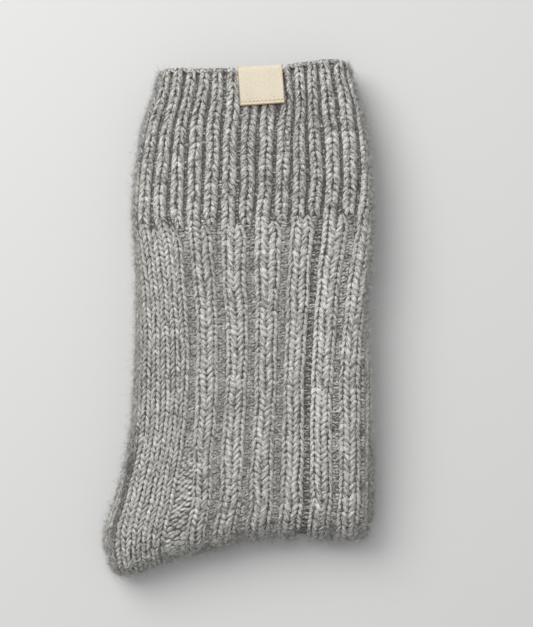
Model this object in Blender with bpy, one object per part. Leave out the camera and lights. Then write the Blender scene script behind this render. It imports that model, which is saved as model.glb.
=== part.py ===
"""A pair of chunky rib-knit socks, folded together and lying flat.

Each sock is one knitted tube. It lies flattened, with its cuff towards +Y, runs down to the
fold at the heel (-Y), turns under there, and its foot goes back up beneath the leg. The
lower sock lies inside the upper sock's fold, so the heap has four flattened tubes: upper leg,
lower leg, lower foot, upper foot. The label is a tape folded over the upper sock's cuff.

Sizes are in millimetres until a mesh is made. +Y points to the cuffs and +Z is up.
"""
import math

import bpy
import numpy as np

MM = 0.001

# The cloth's wall.
CROWN_WALL = 2.5          # wall at a rib's crown
PURL_DEPTH = 1.1          # how far a purl groove lies below the crowns
PATCH_DEPTH = 0.7         # the same for the wide purl patch beside the heel
PANEL_DEPTH = 0.35        # how far plain knit lies below the crowns
SHOULDER_DEPTH = 0.3      # how far a rib's shoulders lie below its middle
CUFF_KNIT_DEPTH = 0.1     # how far the cuff's narrow ribs lie below the leg's wide ones
PATCH_FROM = -50.0        # the wide purl patch lies below this place on the leg
HALF_SLIT = 0.2           # half of the space inside a flattened tube
HALF = CROWN_WALL + HALF_SLIT
LAYER_GAP = 0.3           # between two socks
SIDE_WALL = 3.0           # wall at a flattened tube's left and right edges
SIDE_SHARE = 0.12         # and the most of the tube's width that it takes

# The open mouth of the cuff.
MOUTH_HALF = 0.7          # how much wider half of the slit is at the rim
MOUTH_REACH = 20.0        # how far down the cuff the mouth closes
RIM_ROUND = 0.9           # how far the rim's outer edge is drawn in
RIM_TURN = 1.4            # over what length

# The fold and the feet.
FOLD_SPRING = 1.2         # how much the fold stands higher than the heap
SPRING_REACH = 60.0
FEET_GAP = 0.4            # between the lower sock's leg and its own foot
STACK = 8 * HALF + 2 * LAYER_GAP + FEET_GAP
FOLD_TOP = STACK + FOLD_SPRING
FOLD_RADIUS = {"upper": FOLD_TOP / 2 - HALF}
FOLD_RADIUS["lower"] = FOLD_RADIUS["upper"] - 2 * HALF - LAYER_GAP
TOE_END = {"upper": 84.0, "lower": 78.0}
TOE_LENGTH = 30.0         # the stretch where the foot narrows to the toe
TOE_SHARE = 0.34          # the toe's closed end, as a share of the foot's width
TOE_HALF = 1.4            # half of the foot's thickness at its end
CUFF_DROOP = 4.0          # how far the cuffs hang down past the toes
DROOP_FROM = 58.0
CUFF_LINE = 99.5          # the cuff's rim at the middle of the leg
FOLD_LINE = -76.5         # the fold's axis at the middle of the leg
LOWER_CUFF_SHORT = 1.2    # how far the lower sock's rim stays behind the upper one's

# How the heap softens: its sides sink, and soft troughs run down the leg.
SIDE_SINK = 0.11          # share of the height lost at the left and right edges
FOLD_SINK = 0.14          # and at the fold
SINK_FROM, SINK_TO = -36.0, -98.0
EDGE_REACH = 1.08         # half widths from the middle past which nothing sinks further
TROUGH_FADE = 0.22        # share of a trough's length over which each end fades

# Plan outline of the legs. The last two columns say how far the lower sock shows beyond the
# upper one at the left and right, or hides behind it where they are negative.
# y, left edge, right edge, peek left, peek right
OUTLINE = np.array([
    (-103.0, -49.8, 51.6, 0.2, 1.0),
    (-96.0, -51.2, 51.7, 1.6, 1.6),
    (-90.0, -51.5, 51.7, 2.5, 2.1),
    (-84.0, -51.0, 51.7, 2.8, 2.1),
    (-78.0, -49.2, 51.8, 2.9, 2.1),
    (-72.0, -47.1, 51.9, 2.6, 2.0),
    (-64.0, -45.4, 52.0, 2.2, 1.9),
    (-54.0, -43.8, 52.1, 1.2, 1.7),
    (-40.0, -42.2, 52.3, 0.4, -0.2),
    (-25.0, -41.3, 52.3, -1.3, -1.4),
    (7.0, -40.5, 51.6, -1.5, -1.5),
    (30.0, -41.2, 53.0, -1.5, -1.5),
    (41.0, -42.0, 53.4, -1.5, -1.5),
    (52.0, -41.3, 53.2, -1.5, -1.5),
    (66.0, -39.7, 51.8, -1.5, -1.5),
    (78.0, -37.4, 50.0, -1.5, -1.5),
    (86.0, -34.7, 47.8, -1.5, -1.5),
    (97.0, -31.9, 45.0, -1.5, -1.5),
    (103.0, -31.0, 43.6, -1.5, -1.5),
])
LEFT, RIGHT, PEEK_LEFT, PEEK_RIGHT = 1, 2, 3, 4

# Plan outline of the feet, before the toes narrow.
# y, left edge, right edge
FOOT_OUTLINE = np.array([
    (-103.0, -49.8, 51.4),
    (-90.0, -50.8, 51.2),
    (-75.0, -47.0, 50.6),
    (-50.0, -42.8, 49.6),
    (-15.0, -40.0, 48.6),
    (30.0, -39.6, 48.2),
    (84.0, -33.0, 42.0),
])

# The cuff's rim and the fold's outer edge, across the sock from its left edge to its right.
# share of the width, y of the rim
RIM_EDGE = np.array([
    (0.0, 97.4), (0.04, 98.3), (0.22, 98.4), (0.41, 98.8),
    (0.65, 99.9), (0.83, 101.8), (0.93, 102.3), (1.0, 100.9),
])
# share of the width, y of the fold's edge
FOLD_EDGE = np.array([
    (0.0, -101.8), (0.07, -102.3), (0.16, -99.3), (0.24, -96.9), (0.32, -94.2),
    (0.40, -92.4), (0.50, -89.4), (0.58, -88.3), (0.73, -87.8), (0.9, -88.6), (1.0, -88.0),
])

# Where columns of stitches start, in mm over the cloth from the left edge. Columns 1, 5 ... 25
# start in the middle of a groove of the leg. Column -3 starts in the plain knit.
# place down the leg, extra share of the first groove, columns -3, 1, 5, 9, 13, 17, 21, 25
COLUMNS = np.array([
    (-76.0, 0.48, 12.5, 27.6, 40.2, 52.3, 64.9, 76.7, 87.8, 100.7),
    (-66.0, 0.46, 11.9, 26.6, 38.9, 50.4, 62.3, 74.1, 85.5, 98.4),
    (-56.0, 0.36, 11.6, 25.6, 37.4, 49.2, 61.0, 72.7, 83.9, 96.6),
    (-45.0, 0.10, 12.4, 25.0, 36.5, 48.3, 60.0, 71.2, 82.4, 95.0),
    (-30.0, 0.02, 12.8, 24.8, 36.5, 47.8, 59.4, 70.2, 81.4, 93.9),
    (-12.0, 0.0, 12.3, 24.6, 36.2, 47.5, 59.0, 70.3, 81.7, 93.5),
    (7.0, 0.0, 11.5, 23.7, 35.4, 47.3, 59.3, 71.2, 83.0, 95.3),
    (18.0, 0.0, 10.8, 23.0, 34.7, 47.0, 60.3, 72.0, 84.4, 97.2),
    (27.0, 0.0, 10.0, 22.5, 34.4, 47.3, 60.9, 73.2, 86.4, 99.2),
    (34.0, 0.0, 9.4, 22.2, 34.7, 48.1, 61.9, 74.6, 88.0, 100.9),
    (42.0, 0.0, 9.2, 22.1, 35.2, 49.1, 63.1, 75.9, 89.4, 102.4),
    (52.0, 0.0, 8.9, 21.6, 35.2, 49.3, 63.1, 76.1, 90.0, 102.7),
    (66.0, 0.0, 8.6, 20.6, 34.0, 48.0, 61.7, 74.0, 88.2, 101.1),
    (80.0, 0.0, 8.3, 19.1, 31.7, 45.8, 59.7, 70.3, 84.0, 96.2),
    (92.0, 0.0, 7.7, 17.9, 29.0, 42.6, 56.0, 66.1, 77.9, 88.3),
    (100.0, 0.0, 7.2, 17.1, 27.7, 40.9, 53.9, 64.3, 75.8, 86.0),
])
FIRST_GROOVE, FIRST_MARK = 1, 2
MARKED = tuple(range(-3, 26, 4))
WALES = 60                # columns of stitches round the tube
RIB_HALF = 30             # columns 0 to 29 are ribbed in the leg, the rest are plain knit
CUFF_END, LEG_START = 44.0, 33.0     # the ribs change between these places
# How wide a column is beside the others, in the leg and in the cuff.
KNIT_SHARE, PURL_SHARE, PLAIN_SHARE = 1.0, 0.30, 0.88
CUFF_KNIT_SHARE, CUFF_PURL_SHARE = 1.0, 0.28
SHOULDERS = (0.22, 0.78)  # where a column that shows has its two points

# Soft troughs in the heap.
# x at the top, y at the top, x at the bottom, y at the bottom, half width, depth
TROUGHS = np.array([
    (29.5, 52.0, 28.0, -84.0, 8.0, 1.1),
    (-18.5, 30.0, -22.5, -66.0, 6.5, 0.6),
    (6.0, 94.0, 5.0, 46.0, 9.0, 0.5),
    (-2.0, -30.0, -8.0, -88.0, 7.0, 0.5),
    (42.0, 88.0, 49.0, 50.0, 6.0, 0.5),
])

# Where rings of points are laid. A leg's are places down the leg, the fold's are angles, and a
# foot's are shares of its length.
LEG_STATIONS = (92.0, 85.0, 78.0, 70.0, 60.0, 50.0, 44.0, 38.5, 33.0, 26.0, 17.0, 5.0,
                -10.0, -25.0, -38.0, -48.0, -57.0, -64.0, -70.0, FOLD_LINE)
FOLD_STEPS = 8
FOOT_STATIONS = (0.08, 0.2, 0.34, 0.48, 0.62, 0.74, 0.83, 0.89, 0.93, 0.965, 0.988, 1.0)

# The label: a tape over the cuff's rim.
LABEL_LEFT, LABEL_WIDTH = -0.2, 17.6
LABEL_DROP = 13.8         # how far it reaches down the front
LABEL_TUCK = 6.0          # how far it reaches down inside
LABEL_LEAN = 1.0          # how far its lower edge lies to the right
LABEL_THICK = 0.5
LABEL_GAP = 0.4
LABEL_DIP = 1.9           # how far the rim is drawn down beneath it
LABEL_MARGIN = 1.7        # how far beside it the rim stays down
# Where the plain inside has points across its width: two lie just beside the label.
INNER_SHARES = (0.06, 0.2, 0.375, 0.48, 0.58, 0.683, 0.8, 0.94)
LABEL_COLUMNS = 6

GREY_YARN = (0.30, 0.298, 0.28, 1.0)
CREAM_TAPE = (0.80, 0.70, 0.54, 1.0)


def smooth(share):
    share = np.clip(share, 0.0, 1.0)
    return share * share * (3.0 - 2.0 * share)


def along(table, column, place):
    """Read a table's column at a place, on a smooth curve through its rows."""
    xs, ys = table[:, 0], table[:, column]
    slopes = np.gradient(ys, xs)
    place = np.clip(place, xs[0], xs[-1])
    row = np.clip(np.searchsorted(xs, place) - 1, 0, len(xs) - 2)
    step = xs[row + 1] - xs[row]
    t = (place - xs[row]) / step
    return ((1 + 2 * t) * (1 - t) ** 2 * ys[row] + t * (1 - t) ** 2 * step * slopes[row]
            + t * t * (3 - 2 * t) * ys[row + 1] + t * t * (t - 1) * step * slopes[row + 1])


def soften(x, y, z):
    """Sink the heap's sides and press the soft troughs into it. The floor stays at 0."""
    left, right = along(OUTLINE, LEFT, y), along(OUTLINE, RIGHT, y)
    off_middle = np.clip((x - (left + right) / 2) / ((right - left) / 2), -EDGE_REACH, EDGE_REACH)
    share = 1.0 - SIDE_SINK * off_middle ** 4
    share = share - FOLD_SINK * smooth((SINK_FROM - y) / (SINK_FROM - SINK_TO))
    for x_top, y_top, x_low, y_low, half_width, depth in TROUGHS:
        run = (y_top - y) / (y_top - y_low)
        middle = x_top + (x_low - x_top) * run
        across = 1.0 - smooth(np.abs(x - middle) / half_width)
        ends = smooth(np.minimum(run, 1.0 - run) / TROUGH_FADE)
        share = share - depth / STACK * across * ends
    return z * share


def rim_edge(sock, share):
    y = along(RIM_EDGE, 1, share)
    if sock == "lower":
        return y - LOWER_CUFF_SHORT
    width = along(OUTLINE, RIGHT, y) - along(OUTLINE, LEFT, y)
    label_middle = (LABEL_LEFT + LABEL_WIDTH / 2 - along(OUTLINE, LEFT, y)) / width
    beyond = np.abs(share - label_middle) * width - LABEL_WIDTH / 2
    return y - LABEL_DIP * (1.0 - smooth((beyond - LABEL_MARGIN) / LABEL_MARGIN))


def fold_axis(share):
    return along(FOLD_EDGE, 1, share) + FOLD_TOP / 2


def leg_edges(sock, y):
    left, right = along(OUTLINE, LEFT, y), along(OUTLINE, RIGHT, y)
    if sock == "lower":
        left = left - along(OUTLINE, PEEK_LEFT, y)
        right = right + along(OUTLINE, PEEK_RIGHT, y)
    return left, right


def foot_edges(sock, y):
    left, right = along(FOOT_OUTLINE, 1, y), along(FOOT_OUTLINE, 2, y)
    from_toe = np.clip((TOE_END[sock] - y) / TOE_LENGTH, 0.0, 1.0)
    share = TOE_SHARE + (1.0 - TOE_SHARE) * np.sqrt(1.0 - (1.0 - from_toe) ** 2)
    middle = (left + right) / 2
    return middle + (left - middle) * share, middle + (right - middle) * share


def leg_half(place):
    """Half of a leg's thickness at its crowns: the cuff's mouth stands a little open."""
    to_rim = np.clip((CUFF_LINE - place) / MOUTH_REACH, 0.0, 1.0)
    return HALF + MOUTH_HALF * (1.0 - to_rim) ** 2


def foot_half(sock, y):
    from_toe = np.clip((TOE_END[sock] - y) / TOE_LENGTH, 0.0, 1.0)
    return HALF - (HALF - TOE_HALF) * (1.0 - from_toe) ** 2


def leg_middle(sock, place, y, axis):
    """Height of a leg's middle plane."""
    spring = FOLD_SPRING * (1.0 - np.clip((y - axis) / SPRING_REACH, 0.0, 1.0)) ** 2
    droop = CUFF_DROOP * (np.clip(y - DROOP_FROM, 0.0, None) / (CUFF_LINE - DROOP_FROM)) ** 2
    top = STACK + spring - droop
    half = leg_half(place)
    return top - half if sock == "upper" else top - 3 * half - LAYER_GAP


def foot_middle(sock, y):
    beneath = foot_half("upper", y)
    if sock == "upper":
        return beneath
    return 2 * beneath + LAYER_GAP + foot_half("lower", y)


def width_at(sock, kind, place):
    """A tube's flat width at a station."""
    if kind == "leg":
        left, right = leg_edges(sock, place)
    elif kind == "fold":
        left, right = leg_edges(sock, FOLD_LINE)
    else:
        y = fold_axis(0.5) + (TOE_END[sock] - fold_axis(0.5)) * place
        left, right = foot_edges(sock, y)
    return float(right - left)


def half_at(sock, kind, place):
    if kind == "leg":
        return float(leg_half(place))
    if kind == "fold":
        return HALF
    return float(foot_half(sock, fold_axis(0.5) + (TOE_END[sock] - fold_axis(0.5)) * place))


def on_sock(sock, kind, place, x, n):
    """Put points of one cross-section in space.

    x runs from the tube's left edge to its right, and n is the height over its middle plane,
    positive on the face that the leg turns up.
    """
    share = x / width_at(sock, kind, place)
    axis = fold_axis(share)
    if kind == "leg":
        run = (place - FOLD_LINE) / (CUFF_LINE - FOLD_LINE)
        y = axis + (rim_edge(sock, share) - axis) * run
        z = leg_middle(sock, place, y, axis) + n
        left, right = leg_edges(sock, y)
    elif kind == "fold":
        radius = FOLD_RADIUS[sock] + n
        y = axis - radius * math.sin(place)
        z = FOLD_TOP / 2 + radius * math.cos(place)
        left, right = leg_edges(sock, y)
        foot_left, foot_right = foot_edges(sock, y)
        turned = smooth(place / math.pi)
        left = left + (foot_left - left) * turned
        right = right + (foot_right - right) * turned
    else:
        y = axis + (TOE_END[sock] - axis) * place
        z = foot_middle(sock, y) - n * foot_half(sock, y) / half_at(sock, kind, place)
        left, right = foot_edges(sock, y)
    x = left + share * (right - left)
    return np.column_stack((x, y, soften(x, y, z)))


def round_flat_tube(width, half, arc, depth):
    """A cross-section's outer points: arc is measured over the cloth from the left edge,
    round the front, the right edge and the back; depth is how far a point lies inside."""
    flat, quarter = width - 2 * half, math.pi * half / 2
    arc = np.mod(arc, 2 * flat + 4 * quarter)
    back = arc > flat + 2 * quarter
    mirrored = np.where(back, 2 * flat + 4 * quarter - arc, arc)
    turn = (np.clip(mirrored / quarter, 0, 1)
            + np.clip((mirrored - quarter - flat) / quarter, 0, 1)) * math.pi / 2
    x = half + np.clip(mirrored - quarter, 0, flat) - (half - depth) * np.cos(turn)
    n = (half - depth) * np.sin(turn)
    return x, np.where(back, -n, n)


def in_cuff(kind, place):
    """1 in the cuff, 0 in the leg and the foot."""
    return float(smooth((place - LEG_START) / (CUFF_END - LEG_START))) if kind == "leg" else 0.0


def wale_shares(cuff, first_groove):
    """Relative widths of the columns, from the one that starts the groove before rib 1."""
    wale = np.arange(WALES)
    knit = (wale % 4 >= 2) & (wale < RIB_HALF)
    leg = np.where(wale >= RIB_HALF, PLAIN_SHARE, np.where(knit, KNIT_SHARE, PURL_SHARE))
    leg[:2] += first_groove
    rib = np.where(wale % 2 == 0, CUFF_KNIT_SHARE, CUFF_PURL_SHARE)
    return cuff * rib + (1.0 - cuff) * leg


def wale_edges(sock, kind, place):
    """Where each column starts, over the cloth, and where the last one ends."""
    row = place if kind == "leg" else COLUMNS[0, 0]
    width, half = width_at(sock, kind, place), half_at(sock, kind, place)
    full = width_at(sock, "fold", 0.0) if kind == "foot" else width
    around = 2 * (width - 2 * half + math.pi * half)
    shares = wale_shares(in_cuff(kind, place), float(along(COLUMNS, FIRST_GROOVE, row)))
    marks = [float(along(COLUMNS, FIRST_MARK + k, row)) * width / full
             for k in range(len(MARKED))]
    marks.append(marks[0] + around)
    starts = MARKED + (MARKED[0] + WALES,)
    edges = [marks[:1]]
    for first, last, low, high in zip(starts, starts[1:], marks, marks[1:]):
        run = np.cumsum(np.take(shares, range(first, last), mode="wrap"))
        edges.append(low + (high - low) * run / run[-1])
    edges = np.concatenate(edges)
    return np.concatenate((edges[-MARKED[0]:], edges[1:1 - MARKED[0]] + around))


def relief(kind, place, wale, inside):
    """How far the surface lies below the crowns, at a share of a column's width."""
    shoulder = np.where((wale % 4 == 2) & (wale < RIB_HALF), 1.0 - inside, inside)
    knit = np.where(wale % 2 == 0, CUFF_KNIT_DEPTH, PURL_DEPTH)
    by_heel = kind != "leg" or place < PATCH_FROM
    groove = np.where((wale < 2) & by_heel, PATCH_DEPTH, PURL_DEPTH)
    ribbed = np.where(wale % 4 >= 2, SHOULDER_DEPTH * smooth(shoulder * 2 - 1), groove)
    leg = np.where(wale >= RIB_HALF, PANEL_DEPTH, ribbed)
    cuff = in_cuff(kind, place)
    depth = cuff * knit + (1.0 - cuff) * leg
    if kind == "fold":
        return depth * (1.0 - smooth(place / math.pi))
    return depth if kind == "leg" else depth * 0.0


def samples(sock):
    """The points round a cross-section: which column each lies in, and where in it.

    Columns that show have two points and the others one: the upper sock's whole front and
    both its edges, and the lower sock's two edges.
    """
    wale, inside = [], []
    for column in range(WALES):
        left_edge = column >= WALES - 10
        right_edge = 22 <= column < 32
        front = sock == "upper" and column < 32
        for share in (SHOULDERS if left_edge or right_edge or front else (0.5,)):
            wale.append(column)
            inside.append(share)
    return np.array(wale), np.array(inside)


def outer_ring(sock, kind, place, wale, inside, drawn_in=0.0):
    edges = wale_edges(sock, kind, place)
    arc = edges[wale] + inside * (edges[wale + 1] - edges[wale])
    depth = relief(kind, place, wale, inside) + drawn_in
    x, n = round_flat_tube(width_at(sock, kind, place), half_at(sock, kind, place), arc, depth)
    return on_sock(sock, kind, place, x, n)


def inner_ring(sock, kind, place):
    """The plain inside of the tube."""
    width, half = width_at(sock, kind, place), half_at(sock, kind, place)
    side = min(SIDE_WALL, width * SIDE_SHARE)
    slit = HALF_SLIT + (half - HALF if kind == "leg" else 0.0)
    across = side + np.array(INNER_SHARES) * (width - 2 * side)
    x = np.concatenate(((side,), across, (width - side,), across[::-1]))
    level = np.full(len(INNER_SHARES), slit)
    n = np.concatenate(((0.0,), level, (0.0,), -level))
    return on_sock(sock, kind, place, x, n)


def stations(every_leg, every_foot):
    legs = [("leg", place) for place in LEG_STATIONS[::-1][::every_leg][::-1]]
    folds = [("fold", math.pi * step / FOLD_STEPS) for step in range(1, FOLD_STEPS + 1)]
    feet = [("foot", place) for place in FOOT_STATIONS[::-1][::every_foot][::-1]]
    return legs + folds + feet


def zip_loops(first, second, first_at, second_at):
    """Triangles between two chains of points, each sorted by its place along the chain."""
    faces, i, j = [], 0, 0
    while i < len(first) - 1 or j < len(second) - 1:
        step_first = j == len(second) - 1 or (
            i < len(first) - 1 and first_at[i + 1] <= second_at[j + 1])
        if step_first:
            faces.append((first[i + 1], second[j], first[i]))
            i += 1
        else:
            faces.append((second[j + 1], second[j], first[i]))
            j += 1
    return faces


def ring_quads(start, rings, count):
    faces = []
    for ring in range(rings - 1):
        for point in range(count):
            a = start + ring * count + point
            b = start + ring * count + (point + 1) % count
            faces.append((a, a + count, b + count, b))
    return faces


def add_object(name, points, faces, color, roughness):
    mesh = bpy.data.meshes.new(name)
    mesh.from_pydata((np.asarray(points) * MM).tolist(), [], faces)
    mesh.validate()
    mesh.shade_smooth()
    material = bpy.data.materials.new(name)
    material.use_nodes = True
    shader = material.node_tree.nodes["Principled BSDF"]
    shader.inputs["Base Color"].default_value = color
    shader.inputs["Roughness"].default_value = roughness
    shader.inputs["Metallic"].default_value = 0.0
    mesh.materials.append(material)
    made = bpy.data.objects.new(name, mesh)
    bpy.context.scene.collection.objects.link(made)
    return made


def cap(indices, points, reverse):
    """Close the last ring of a tube: zip its front to its back."""
    order = list(range(len(indices)))
    left = min(order, key=lambda k: points[k][0])
    right = max(order, key=lambda k: points[k][0])
    turned = order[left:] + order[:left]
    split = turned.index(right)
    front, back = turned[:split + 1], [turned[0]] + turned[split:][::-1]
    faces = zip_loops([indices[k] for k in front], [indices[k] for k in back],
                      [points[k][0] for k in front], [points[k][0] for k in back])
    faces = [face for face in faces if len(set(face)) == 3]
    return [face[::-1] for face in faces] if reverse else faces


def make_sock(sock, name, every_leg, every_foot):
    wale, inside = samples(sock)
    count = len(wale)
    outer = [outer_ring(sock, "leg", CUFF_LINE, wale, inside, RIM_ROUND),
             outer_ring(sock, "leg", CUFF_LINE - RIM_TURN, wale, inside)]
    outer += [outer_ring(sock, kind, place, wale, inside)
              for kind, place in stations(every_leg, every_foot)]
    inner = [inner_ring(sock, "leg", CUFF_LINE)]
    inner += [inner_ring(sock, kind, place) for kind, place in stations(2, 2)]
    inner_count = len(inner[0])
    inner_start = count * len(outer)
    points = np.concatenate(outer + inner)

    faces = ring_quads(0, len(outer), count)
    faces += [face[::-1] for face in ring_quads(inner_start, len(inner), inner_count)]

    edges = wale_edges(sock, "leg", CUFF_LINE)
    arcs = edges[wale] + inside * (edges[wale + 1] - edges[wale])
    around = edges[-1] - edges[0]
    places = np.mod(arcs, around) / around
    first = int(np.argmin(places))
    outer_loop = [(first + k) % count for k in range(count)]
    outer_at = [places[k] for k in outer_loop] + [1.0 + places[first]]
    inner_loop = [inner_start + k for k in range(inner_count)]
    inner_at = [k / inner_count for k in range(inner_count + 1)]
    faces += zip_loops(outer_loop + outer_loop[:1], inner_loop + inner_loop[:1],
                       outer_at, inner_at)

    last = count * (len(outer) - 1)
    faces += cap(list(range(last, last + count)), outer[-1], True)
    last = inner_start + inner_count * (len(inner) - 1)
    faces += cap(list(range(last, last + inner_count)), inner[-1], False)
    return add_object(name, points, faces, GREY_YARN, 0.95)


def label_path():
    """The tape's middle line beside the cuff: place down the leg and height over the leg's
    middle plane, from its lower edge in front, over the rim, to its end inside."""
    off = LABEL_GAP + LABEL_THICK / 2
    rim_top, rim_low = leg_half(CUFF_LINE), HALF_SLIT + MOUTH_HALF
    middle, radius = (rim_top + rim_low) / 2, (rim_top - rim_low) / 2 + off
    path = [(CUFF_LINE - down, leg_half(CUFF_LINE - down) + off)
            for down in np.linspace(LABEL_DROP, 0.0, 7)]
    path += [(CUFF_LINE + radius * math.sin(angle), middle + radius * math.cos(angle))
             for angle in np.linspace(0.0, math.pi, 7)[1:-1]]
    path += [(CUFF_LINE - down, leg_half(CUFF_LINE - down) - CROWN_WALL - off)
             for down in np.linspace(0.0, LABEL_TUCK, 3)]
    return np.array(path)


def label_point(place, height, across):
    """A point of the tape: its x follows the real tape, whatever the leg's outline does."""
    x = LABEL_LEFT + LABEL_WIDTH * across
    x += LABEL_LEAN * min(max((CUFF_LINE - place) / LABEL_DROP, 0.0), 1.0)
    width, y = width_at("upper", "leg", place), place
    for _ in range(3):
        left, right = leg_edges("upper", y)
        share = (x - left) / (right - left)
        point = on_sock("upper", "leg", place, np.array([share * width]), np.array([height]))[0]
        y = point[1]
    return point


def make_label():
    path = label_path()
    run = np.gradient(path, axis=0)
    run /= np.linalg.norm(run, axis=1)[:, None]
    out = np.column_stack((-run[:, 1], run[:, 0])) * LABEL_THICK / 2
    outline = np.concatenate((path + out, (path - out)[::-1]))
    ring, steps = len(outline), len(path)
    points = [label_point(place, height, across)
              for across in np.linspace(0.0, 1.0, LABEL_COLUMNS) for place, height in outline]
    faces = []
    for column in range(LABEL_COLUMNS - 1):
        for k in range(ring):
            a, b = column * ring + k, column * ring + (k + 1) % ring
            faces.append((a, a + ring, b + ring, b))
    for k in range(steps - 1):
        quad = (k, k + 1, ring - 2 - k, ring - 1 - k)
        far = tuple(corner + (LABEL_COLUMNS - 1) * ring for corner in quad)
        faces += [quad, far[::-1]]
    return add_object("label", points, faces, CREAM_TAPE, 0.8)


for leftover in list(bpy.data.objects):
    bpy.data.objects.remove(leftover)
make_sock("upper", "upper_sock", 1, 1)
make_sock("lower", "lower_sock", 2, 2)
make_label()
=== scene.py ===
"""The looks of a folded pair of chunky rib-knit socks: knitted yarn, fuzz, label, light.

Sizes are in millimetres until a mesh is made, in the model's own frame: +Y points to the
cuffs and +Z is up. The shape of the heap repeats the solids' own rules.
"""
import math

import bpy
import numpy as np
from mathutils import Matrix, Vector


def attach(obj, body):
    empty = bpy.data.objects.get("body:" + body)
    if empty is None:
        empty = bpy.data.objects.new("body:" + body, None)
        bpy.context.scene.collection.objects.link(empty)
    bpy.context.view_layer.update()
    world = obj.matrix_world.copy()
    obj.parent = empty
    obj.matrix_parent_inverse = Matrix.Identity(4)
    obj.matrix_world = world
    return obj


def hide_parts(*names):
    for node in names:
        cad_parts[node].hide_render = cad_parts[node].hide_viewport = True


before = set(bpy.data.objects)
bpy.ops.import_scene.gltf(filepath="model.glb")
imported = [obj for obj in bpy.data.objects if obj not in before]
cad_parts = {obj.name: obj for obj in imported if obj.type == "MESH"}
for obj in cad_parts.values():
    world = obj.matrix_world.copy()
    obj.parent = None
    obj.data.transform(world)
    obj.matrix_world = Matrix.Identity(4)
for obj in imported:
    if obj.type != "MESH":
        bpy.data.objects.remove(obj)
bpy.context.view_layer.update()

MM = 0.001
SEED = 41

# ---------------------------------------------------------------- the socks' shape

CROWN_WALL = 2.5          # wall at a rib's crown
PURL_DEPTH = 1.1          # how far a purl groove lies below the crowns
PATCH_DEPTH = 0.7         # the same for the wide purl patch beside the heel
PANEL_DEPTH = 0.35        # how far plain knit lies below the crowns
SHOULDER_DEPTH = 0.3      # how far a rib's shoulders lie below its middle
CUFF_KNIT_DEPTH = 0.1
PATCH_FROM = -50.0        # the place on the leg where the patch begins
FOOT_RELIEF = 0.55        # how much of the relief is left where the foot lies flat
HALF_SLIT = 0.2           # half of the flat space inside a tube
HALF = CROWN_WALL + HALF_SLIT
LAYER_GAP = 0.3
MOUTH_HALF = 0.7          # how much thicker half a tube is at its open rim
MOUTH_REACH = 20.0
FOLD_SPRING = 1.2         # how much higher the heap stands at its fold
SPRING_REACH = 60.0
STACK = 8 * HALF + 2 * LAYER_GAP + 0.4
FOLD_TOP = STACK + FOLD_SPRING
FOLD_RADIUS = {"upper": FOLD_TOP / 2 - HALF}
FOLD_RADIUS["lower"] = FOLD_RADIUS["upper"] - 2 * HALF - LAYER_GAP
TOE_END = {"upper": 84.0, "lower": 78.0}
TOE_LENGTH = 30.0
TOE_SHARE = 0.34          # the toe's width at its end, as a share of the foot's
TOE_HALF = 1.4            # half of the tube's thickness there
CUFF_DROOP = 4.0          # how far the cuffs sink where the feet under them end
DROOP_FROM = 58.0
CUFF_LINE = 99.5          # where the rims would be on a straight leg
FOLD_LINE = -76.5         # and where the fold's axis would be
LEG = CUFF_LINE - FOLD_LINE
LOWER_CUFF_SHORT = 1.2    # how far the lower cuff stays behind the upper one
SIDE_SINK = 0.11          # how much lower the heap is at its sides, as a share
FOLD_SINK = 0.14          # and at its fold
SINK_FROM, SINK_TO = -36.0, -98.0
EDGE_REACH = 1.08         # past this share of half the width the sides sink no more
TROUGH_FADE = 0.22        # the share of a trough's length in which it fades in

# y, left edge, right edge, peek left, peek right
OUTLINE = np.array([
    (-103.0, -49.8, 51.6, 0.2, 1.0),
    (-96.0, -51.2, 51.7, 1.6, 1.6),
    (-90.0, -51.5, 51.7, 2.5, 2.1),
    (-84.0, -51.0, 51.7, 2.8, 2.1),
    (-78.0, -49.2, 51.8, 2.9, 2.1),
    (-72.0, -47.1, 51.9, 2.6, 2.0),
    (-64.0, -45.4, 52.0, 2.2, 1.9),
    (-54.0, -43.8, 52.1, 1.2, 1.7),
    (-40.0, -42.2, 52.3, 0.4, -0.2),
    (-25.0, -41.3, 52.3, -1.3, -1.4),
    (7.0, -40.5, 51.6, -1.5, -1.5),
    (30.0, -41.2, 53.0, -1.5, -1.5),
    (41.0, -42.0, 53.4, -1.5, -1.5),
    (52.0, -41.3, 53.2, -1.5, -1.5),
    (66.0, -39.7, 51.8, -1.5, -1.5),
    (78.0, -37.4, 50.0, -1.5, -1.5),
    (86.0, -34.7, 47.8, -1.5, -1.5),
    (97.0, -31.9, 45.0, -1.5, -1.5),
    (103.0, -31.0, 43.6, -1.5, -1.5),
])
LEFT, RIGHT, PEEK_LEFT, PEEK_RIGHT = 1, 2, 3, 4

# y, left edge, right edge
FOOT_OUTLINE = np.array([
    (-103.0, -49.8, 51.4),
    (-90.0, -50.8, 51.2),
    (-75.0, -47.0, 50.6),
    (-50.0, -42.8, 49.6),
    (-15.0, -40.0, 48.6),
    (30.0, -39.6, 48.2),
    (84.0, -33.0, 42.0),
])

# share of the width, y of the rim
RIM_EDGE = np.array([
    (0.0, 97.4), (0.04, 98.3), (0.22, 98.4), (0.41, 98.8),
    (0.65, 99.9), (0.83, 101.8), (0.93, 102.3), (1.0, 100.9),
])
# share of the width, y of the fold's edge
FOLD_EDGE = np.array([
    (0.0, -101.8), (0.07, -102.3), (0.16, -99.3), (0.24, -96.9), (0.32, -94.2),
    (0.40, -92.4), (0.50, -89.4), (0.58, -88.3), (0.73, -87.8), (0.9, -88.6), (1.0, -88.0),
])

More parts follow.
